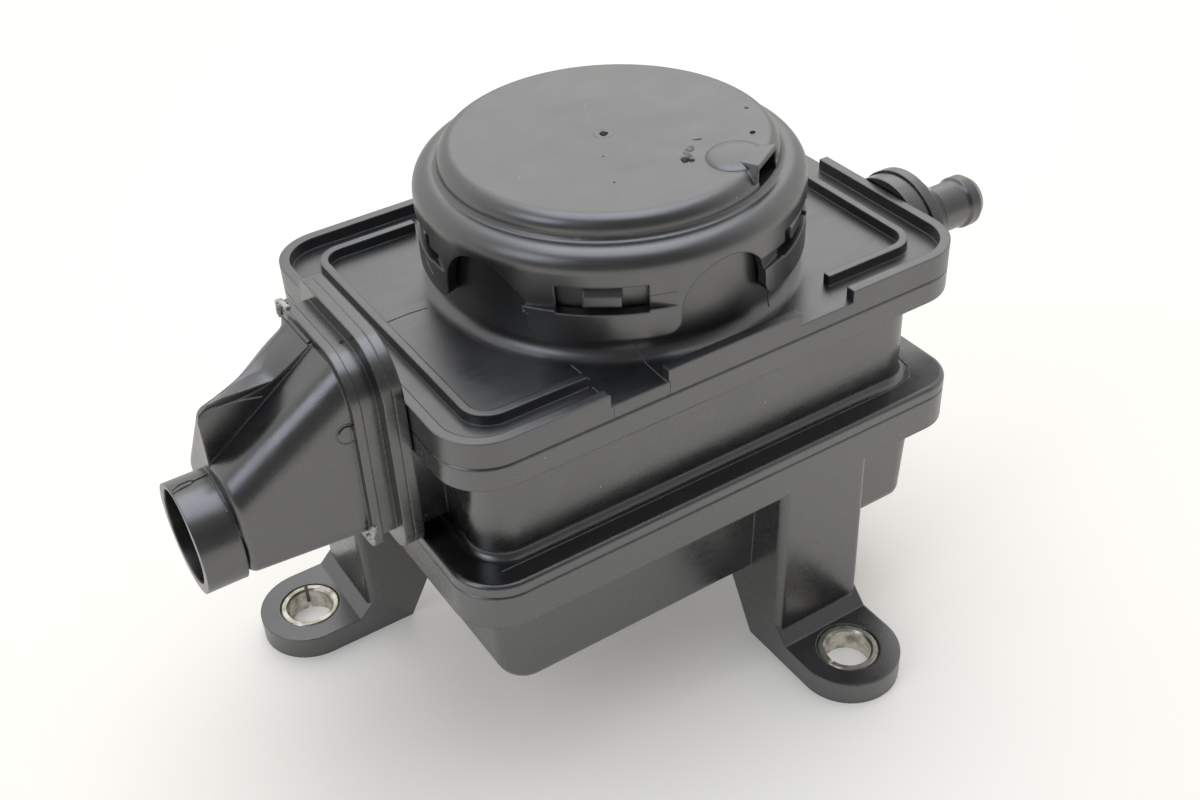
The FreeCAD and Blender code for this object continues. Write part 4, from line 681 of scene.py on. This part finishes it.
class SEPARATOR_OT_duct(bpy.types.Operator):
    """Finishes the inlet duct and its frame, with parting lines, flash tinted as a painted
    highlight, an ejector mark with a painted shadow and a painted dark crease
    """

    bl_idname = "separator.duct"
    bl_label = "Duct"

    def execute(self, context):
        finish = context.scene.separator_finish
        marks = context.scene.separator_marks
        along_duct = (1 / (8 * MM), 1 / (2 * MM), 1 / (2 * MM))
        plastic = moulded_polyamide(
            "duct_polyamide", finish.duct_black, finish.duct_rough, along_duct)
        dress("inlet_duct", plastic)
        dress("inlet_frame", plastic)
        dark = torn_polyamide("duct_line", finish.line_and_shade_black, 0.0, 0.5)
        lines_and_painted_shade = [
            [(-51.9, -5.4, 85.6), (-52.6, -4.6, 84.6), (-53.7, -4.3, 83.9),
             (-56.2, -4.8, 82.5), (-58.8, -5.6, 81.2)],
            [(-77.7, -6.0, 68.4), (-76.2, -5.6, 68.4), (-74.6, -5.4, 68.4), (-73.9, -4.9, 68.4),
             (-74.6, -4.3, 68.4), (-76.2, -4.4, 68.4), (-77.5, -5.2, 68.4)],
            [(-73.9, -4.9, 68.4), (-72.9, -4.8, 68.4), (-71.5, -4.6, 68.4)],
            # painted shade: this last line is a dark bead along the foot of the duct's dark wall,
            # where there is only shadow
            [(-59.6, -5.8, 80.0), (-65.0, -5.8, 75.8), (-71.0, -5.8, 70.9)],
        ]
        lay_lines("duct_lines_and_painted_shade", "inlet_duct", lines_and_painted_shade, 1.1 * marks.hair, dark,
                  0.4)
        # the flash lines and the burr round the spigot's mouth are tinted pale: a painted
        # highlight where their thin edges catch the light
        flash = torn_polyamide("duct_flash_painted_highlight", finish.flash_highlight_grey, 0.25, 0.35)
        raised = [
            [(-70.9, -5.7, 79.3), (-68.8, -5.7, 80.0), (-66.7, -5.7, 80.2),
             (-63.9, -5.7, 79.9), (-61.0, -5.7, 79.2)],
            [(-71.8, -5.8, 68.4), (-71.8, -8.1, 68.1), (-71.7, -10.3, 67.2), (-71.7, -11.9, 65.9)],
        ]
        lay_lines("duct_flash_lines", "inlet_duct", raised, marks.ridge, flash)
        spigot_x, spigot_y, spigot_z, spigot_radius = -77.7, -5.7, 59.1, 9.1
        mouth = []
        for i in range(61):
            angle = math.tau * i / 60
            mouth.append((
                spigot_x, spigot_y + spigot_radius * math.cos(angle),
                spigot_z + spigot_radius * math.sin(angle)))
        shape = bmesh.new()
        bead(shape, settle(None, mouth, marks.step), 1.1 * marks.ridge, 0.35, 7)
        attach(set_piece("spigot_mouth_burr_painted_highlight", shape, flash), "casing")
        shape = bmesh.new()
        ring_of(shape, (-52.6, -16.72, 75.1), (-0.09, -1.0, 0.0),
                [(1.5, -0.15), (1.62, 0.06), (1.9, 0.06), (2.1, -0.15)], 32)
        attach(set_piece("ejector_mark", shape, plastic), "casing")
        # painted shadow: a dark arc in the upper part of the ejector ring, where the dimple's
        # shade falls
        shade = []
        for i in range(9):
            angle = math.radians(20 + 140 * i / 8)
            shade.append((-52.6 + 1.4 * math.cos(angle), -16.75, 75.1 + 1.4 * math.sin(angle)))
        lay_lines("ejector_painted_shadow", "inlet_duct", [shade], 1.3 * marks.hair, dark)
        # the crown: the rear half's roof, smoothed from the lip to the crest's end
        crest = [(-52.3, -5.65, 85.0), (-54.2, -5.65, 83.8), (-56.2, -5.65, 82.6),
                 (-58.8, -5.65, 81.3), (-62.6, -5.65, 81.4), (-66.7, -5.65, 81.6),
                 (-69.4, -5.6, 81.2), (-71.0, -5.5, 79.9)]
        ridge = [(-52.3, 4.8, 85.1), (-54.2, 4.6, 85.2), (-57.0, 3.5, 84.5), (-60.2, 2.1, 83.0),
                 (-63.5, 0.4, 81.7), (-66.8, -1.2, 80.8), (-69.3, -2.8, 80.2), (-70.9, -4.2, 79.0)]
        flank = [(-52.3, 5.6, 80.0), (-54.2, 5.6, 78.0), (-57.0, 5.6, 75.0), (-60.2, 5.2, 72.0),
                 (-63.5, 4.8, 70.0), (-66.8, 4.4, 68.0), (-69.3, 4.0, 67.0), (-70.9, 3.0, 67.0)]
        flank = [settle("inlet_duct", [p], MM)[0] / MM for p in flank]
        shape = bmesh.new()
        chains = []
        for row in (crest, ridge, flank):
            corners = [shape.verts.new(Vector(p) * MM) for p in row]
            chains.append([shape.edges.new(pair) for pair in zip(corners, corners[1:])])
        bmesh.ops.bridge_loops(shape, edges=chains[0] + chains[1])
        bmesh.ops.bridge_loops(shape, edges=chains[1] + chains[2])
        bmesh.ops.subdivide_edges(shape, edges=shape.edges, cuts=3, use_grid_fill=True)
        inner = [v for v in shape.verts if not v.is_boundary]
        rounds = 14
        for _ in range(rounds):
            bmesh.ops.smooth_vert(
                shape, verts=inner, factor=0.5, use_axis_x=True, use_axis_y=True, use_axis_z=True)
        sunk = bmesh.ops.extrude_face_region(shape, geom=list(shape.faces))["geom"]
        bmesh.ops.translate(
            shape, verts=[g for g in sunk if isinstance(g, bmesh.types.BMVert)],
            vec=(0.0, 0.3 * MM, -2.4 * MM))
        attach(set_piece("duct_crown", shape, plastic), "casing")
        pale = torn_polyamide("whitened_weld", finish.weld_white, 0.8, 0.5)
        welds = [
            [(-51.8, 6.9, 83.4), (-51.8, 6.9, 85.2), (-51.8, 6.3, 86.4), (-51.7, 5.0, 86.8),
             (-51.6, 3.0, 86.8)],
            [(-51.6, -18.3, 57.2), (-51.6, -17.9, 55.0), (-51.6, -16.6, 53.2),
             (-51.6, -14.6, 52.4)],
        ]
        lay_lines("whitened_weld_flash", "inlet_duct", welds, marks.weld, pale,
                  0.25)
        shape = bmesh.new()
        for i, (place, size) in enumerate((
            ((-52.0, 6.6, 85.6), (0.7, 0.7, 0.9)), ((-51.9, 5.9, 86.5), (0.7, 0.8, 0.6)),
            ((-51.9, 6.8, 84.2), (0.6, 0.5, 0.9)), ((-52.0, -17.4, 54.3), (0.7, 0.7, 0.9)),
            ((-52.0, -16.4, 53.4), (0.6, 0.9, 0.5)), ((-52.0, -18.1, 56.0), (0.5, 0.4, 1.0)),
        )):
            lump(shape, "inlet_duct", place, size, 50 + i)
        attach(set_piece("whitened_weld_blobs", shape, pale), "casing")
        shape = bmesh.new()
        for i, (place, size) in enumerate((
            ((-48.3, -8.9, 85.8), (0.45, 0.4, 0.1)), ((-51.3, 4.4, 87.2), (0.3, 0.25, 0.2)),
            ((-51.9, 5.4, 87.0), (0.25, 0.3, 0.2)),
        )):
            lump(shape, "inlet_duct" if i else "inlet_frame", place, size, 31 + i)
        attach(set_piece("duct_pits", shape, dark), "casing")
        return {"FINISHED"}


class SEPARATOR_OT_nipple(bpy.types.Operator):
    """Finishes the outlet nipple"""

    bl_idname = "separator.nipple"
    bl_label = "Nipple"

    def execute(self, context):
        finish = context.scene.separator_finish
        along_nipple = (1 / (8 * MM), 1 / (2 * MM), 1 / (2 * MM))
        dress("outlet_nipple", moulded_polyamide(
            "nipple_polyamide", finish.nipple_black, finish.duct_rough, along_nipple))
        return {"FINISHED"}


class SEPARATOR_OT_bushes(bpy.types.Operator):
    """Finishes the split bushes of the feet"""

    bl_idname = "separator.bushes"
    bl_label = "Bushes"

    def execute(self, context):
        steel = plated_steel("zinc_plated_steel")
        for node in ("foot_bush_front", "foot_bush_left", "foot_bush_rear"):
            dress(node, steel)
        return {"FINISHED"}


class SEPARATOR_OT_regulator(bpy.types.Operator):
    """Finishes the valve plate and the drain valve, spins the diaphragm and winds the spring"""

    bl_idname = "separator.regulator"
    bl_label = "Regulator"

    def execute(self, context):
        rubber = vulcanised_rubber("vulcanised_rubber")
        dress("drain_valve", rubber)
        # the rubber bends between plate and rim; each sector is spun from this one section, as
        # (radius, height) in millimetres
        profile = [
            (5.3, 90.3), (15.0, 90.3), (17.8, 90.91), (20.6, 91.53), (23.4, 92.14),
            (26.2, 92.75), (27.3, 93.2), (30.2, 93.2), (30.2, 94.4), (26.2, 94.4),
            (23.3, 93.6), (20.4, 92.8), (17.5, 92.0), (14.55, 91.2), (5.3, 91.2)]
        sectors, spin_steps = 8, 8
        half = math.pi / sectors
        foot = AXIS.xy.to_3d()
        for index in range(sectors):
            shape = bmesh.new()
            section = [
                shape.verts.new((foot.x + r * MM, foot.y, z * MM)) for r, z in profile]
            edges = [
                shape.edges.new(pair) for pair in zip(section, section[1:] + section[:1])]
            bmesh.ops.rotate(
                shape, verts=section, cent=foot,
                matrix=Matrix.Rotation(2 * half * (index - 0.5), 3, "Z"))
            bmesh.ops.spin(
                shape, geom=section + edges, cent=foot, axis=(0, 0, 1), angle=2 * half,
                steps=spin_steps)
            bmesh.ops.holes_fill(shape, edges=[e for e in shape.edges if e.is_boundary])
            sector = set_piece(f"diaphragm_sector_{index + 1}", shape, rubber)
            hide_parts("diaphragm")
            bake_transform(sector)
        dress("diaphragm_plate", natural_polyamide("natural_polyamide"))
        low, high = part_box("control_spring")
        wire = 0.6 * MM
        radius = (high.x - low.x) / 2 - wire
        shape = bmesh.new()
        ring = bmesh.ops.create_circle(shape, cap_ends=True, segments=10, radius=wire)["verts"]
        bmesh.ops.rotate(shape, verts=ring, matrix=Matrix.Rotation(math.pi / 2, 3, "X"))
        bmesh.ops.translate(
            shape, verts=ring, vec=(AXIS.x + radius, AXIS.y, low.z + wire))
        rise = high.z - low.z - 2 * wire
        turns = 4
        steps = 36
        # closed end coils lie flat, and the turns between them rise evenly
        for angle, climb in ((1.0, 0.06), (turns - 1.0, 0.88), (1.0, 0.06)):
            tip = [e for e in shape.edges if all(v in ring for v in e.verts)]
            count = max(2, round(steps * angle))
            made = bmesh.ops.spin(
                shape, geom=list(ring) + tip, cent=foot, axis=(0, 0, 1),
                dvec=(0, 0, rise * climb / count), angle=math.tau * angle, steps=count)
            ring = [g for g in made["geom_last"] if isinstance(g, bmesh.types.BMVert)]
        bmesh.ops.holes_fill(shape, edges=[e for e in shape.edges if e.is_boundary])
        spring = set_piece(
            "regulator_spring", shape, drawn_wire("drawn_spring_wire"))
        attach(spring, "casing")
        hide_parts("control_spring")
        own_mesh(spring)
        return {"FINISHED"}


class SEPARATOR_OT_stage(bpy.types.Operator):
    """Sets the table, the lamps and the camera"""

    bl_idname = "separator.stage"
    bl_label = "Stage"

    def execute(self, context):
        scene = context.scene
        stage = scene.separator_stage
        scene.view_settings.view_transform = "Standard"
        shape = bmesh.new()
        bmesh.ops.create_grid(shape, x_segments=1, y_segments=1, size=3.0)
        mesh = bpy.data.meshes.new("table")
        shape.to_mesh(mesh)
        shape.free()
        table = bpy.data.objects.new("table", mesh)
        scene.collection.objects.link(table)
        material, tree, shader, _ = start_material("painted_table")
        shader.inputs["Base Color"].default_value = stage.floor
        shader.inputs["Roughness"].default_value = 0.5
        path = add_node(tree, "ShaderNodeLightPath")
        mirrored = add_node(tree, "ShaderNodeMath", {
            0: path.outputs["Is Glossy Ray"], 1: path.outputs["Is Transmission Ray"]},
            operation="MAXIMUM")
        seen = add_node(tree, "ShaderNodeMath", {
            0: path.outputs["Is Camera Ray"], 1: mirrored.outputs["Value"]}, operation="MAXIMUM")
        glow = add_node(tree, "ShaderNodeMath", {
            0: seen.outputs["Value"], 1: stage.floor_glow}, operation="MULTIPLY")
        shader.inputs["Emission Color"].default_value = (1.0, 1.0, 1.0, 1.0)
        tree.links.new(glow.outputs["Value"], shader.inputs["Emission Strength"])
        table.data.materials.append(material)
        world = bpy.data.worlds.new("room")
        scene.world = world
        world.use_nodes = True
        tree = world.node_tree
        tree.nodes.clear()
        way = add_node(tree, "ShaderNodeTexCoord").outputs["Generated"]
        towards_camera = (-0.5, -0.83, 0.25)
        front = add_node(tree, "ShaderNodeVectorMath", {
            0: way, 1: towards_camera}, operation="DOT_PRODUCT")
        level = add_node(tree, "ShaderNodeMapRange", {
            "Value": front.outputs["Value"], "From Min": -0.2, "From Max": 0.7,
            "To Min": 1.0, "To Max": stage.dark_front})
        sky = add_node(tree, "ShaderNodeBackground", {
            "Color": stage.sky, "Strength": level.outputs["Result"]})
        add_node(tree, "ShaderNodeOutputWorld", {"Surface": sky.outputs["Background"]})
        for name, tint, power, size, spot in (
            ("key", stage.sky, stage.key_power, 0.7, (0.5, 0.65, 0.62)),
            ("side", stage.window, stage.side_power, 0.45, (-0.75, -0.08, 0.67)),
            ("top", stage.window, stage.top_power, 0.9, (0.08, 0.1, 1.05)),
        ):
            lamp = bpy.data.lights.new(name, "AREA")
            lamp.shape = "SQUARE"
            lamp.size = size
            lamp.energy = power
            lamp.color = tint[:3]
            holder = bpy.data.objects.new(name, lamp)
            holder.location = spot
            holder.rotation_mode = "QUATERNION"
            aim = Vector((0.0, 0.0, 0.06)) - Vector(spot)
            holder.rotation_quaternion = aim.to_track_quat("-Z", "Y")
            scene.collection.objects.link(holder)
        lens = bpy.data.cameras.new("camera")
        lens.sensor_fit = "HORIZONTAL"
        lens.sensor_width = 36.0
        lens.lens = stage.lens
        lens.clip_start = 0.01
        camera = bpy.data.objects.new("camera", lens)
        flat = math.cos(stage.elevation)
        back = Vector((
            math.sin(stage.azimuth) * flat,
            -math.cos(stage.azimuth) * flat,
            math.sin(stage.elevation),
        ))
        camera.location = Vector(stage.target) + back * stage.distance
        camera.rotation_mode = "QUATERNION"
        lean = Quaternion((0.0, 0.0, 1.0), stage.roll)
        camera.rotation_quaternion = (-back).to_track_quat("-Z", "Y") @ lean
        scene.collection.objects.link(camera)
        scene.camera = camera
        return {"FINISHED"}


class SEPARATOR_PT_panel(bpy.types.Panel):
    """Lists the steps that dress the separator"""

    bl_idname = "SEPARATOR_PT_panel"
    bl_label = "Oil separator"
    bl_space_type = "VIEW_3D"
    bl_region_type = "UI"
    bl_category = "Separator"

    def draw(self, context):
        scene = context.scene
        for step in STEPS:
            self.layout.operator(step.bl_idname)
        for group in (scene.separator_finish, scene.separator_marks, scene.separator_stage):
            for name in group.__annotations__:
                self.layout.prop(group, name)


STEPS = (
    SEPARATOR_OT_casing,
    SEPARATOR_OT_cover,
    SEPARATOR_OT_cap,
    SEPARATOR_OT_duct,
    SEPARATOR_OT_nipple,
    SEPARATOR_OT_bushes,
    SEPARATOR_OT_regulator,
    SEPARATOR_OT_stage,
)
CLASSES = (SeparatorFinish, SeparatorMarks, SeparatorStage) + STEPS + (SEPARATOR_PT_panel,)


def register():
    for item in CLASSES:
        bpy.utils.register_class(item)
    bpy.types.Scene.separator_finish = PointerProperty(type=SeparatorFinish)
    bpy.types.Scene.separator_marks = PointerProperty(type=SeparatorMarks)
    bpy.types.Scene.separator_stage = PointerProperty(type=SeparatorStage)


def unregister():
    del bpy.types.Scene.separator_stage
    del bpy.types.Scene.separator_marks
    del bpy.types.Scene.separator_finish
    for item in reversed(CLASSES):
        bpy.utils.unregister_class(item)


def main():
    register()
    bpy.ops.separator.casing()
    bpy.ops.separator.cover()
    bpy.ops.separator.cap()
    bpy.ops.separator.duct()
    bpy.ops.separator.nipple()
    bpy.ops.separator.bushes()
    bpy.ops.separator.regulator()
    bpy.ops.separator.stage()


if __name__ == "__main__":
    main()
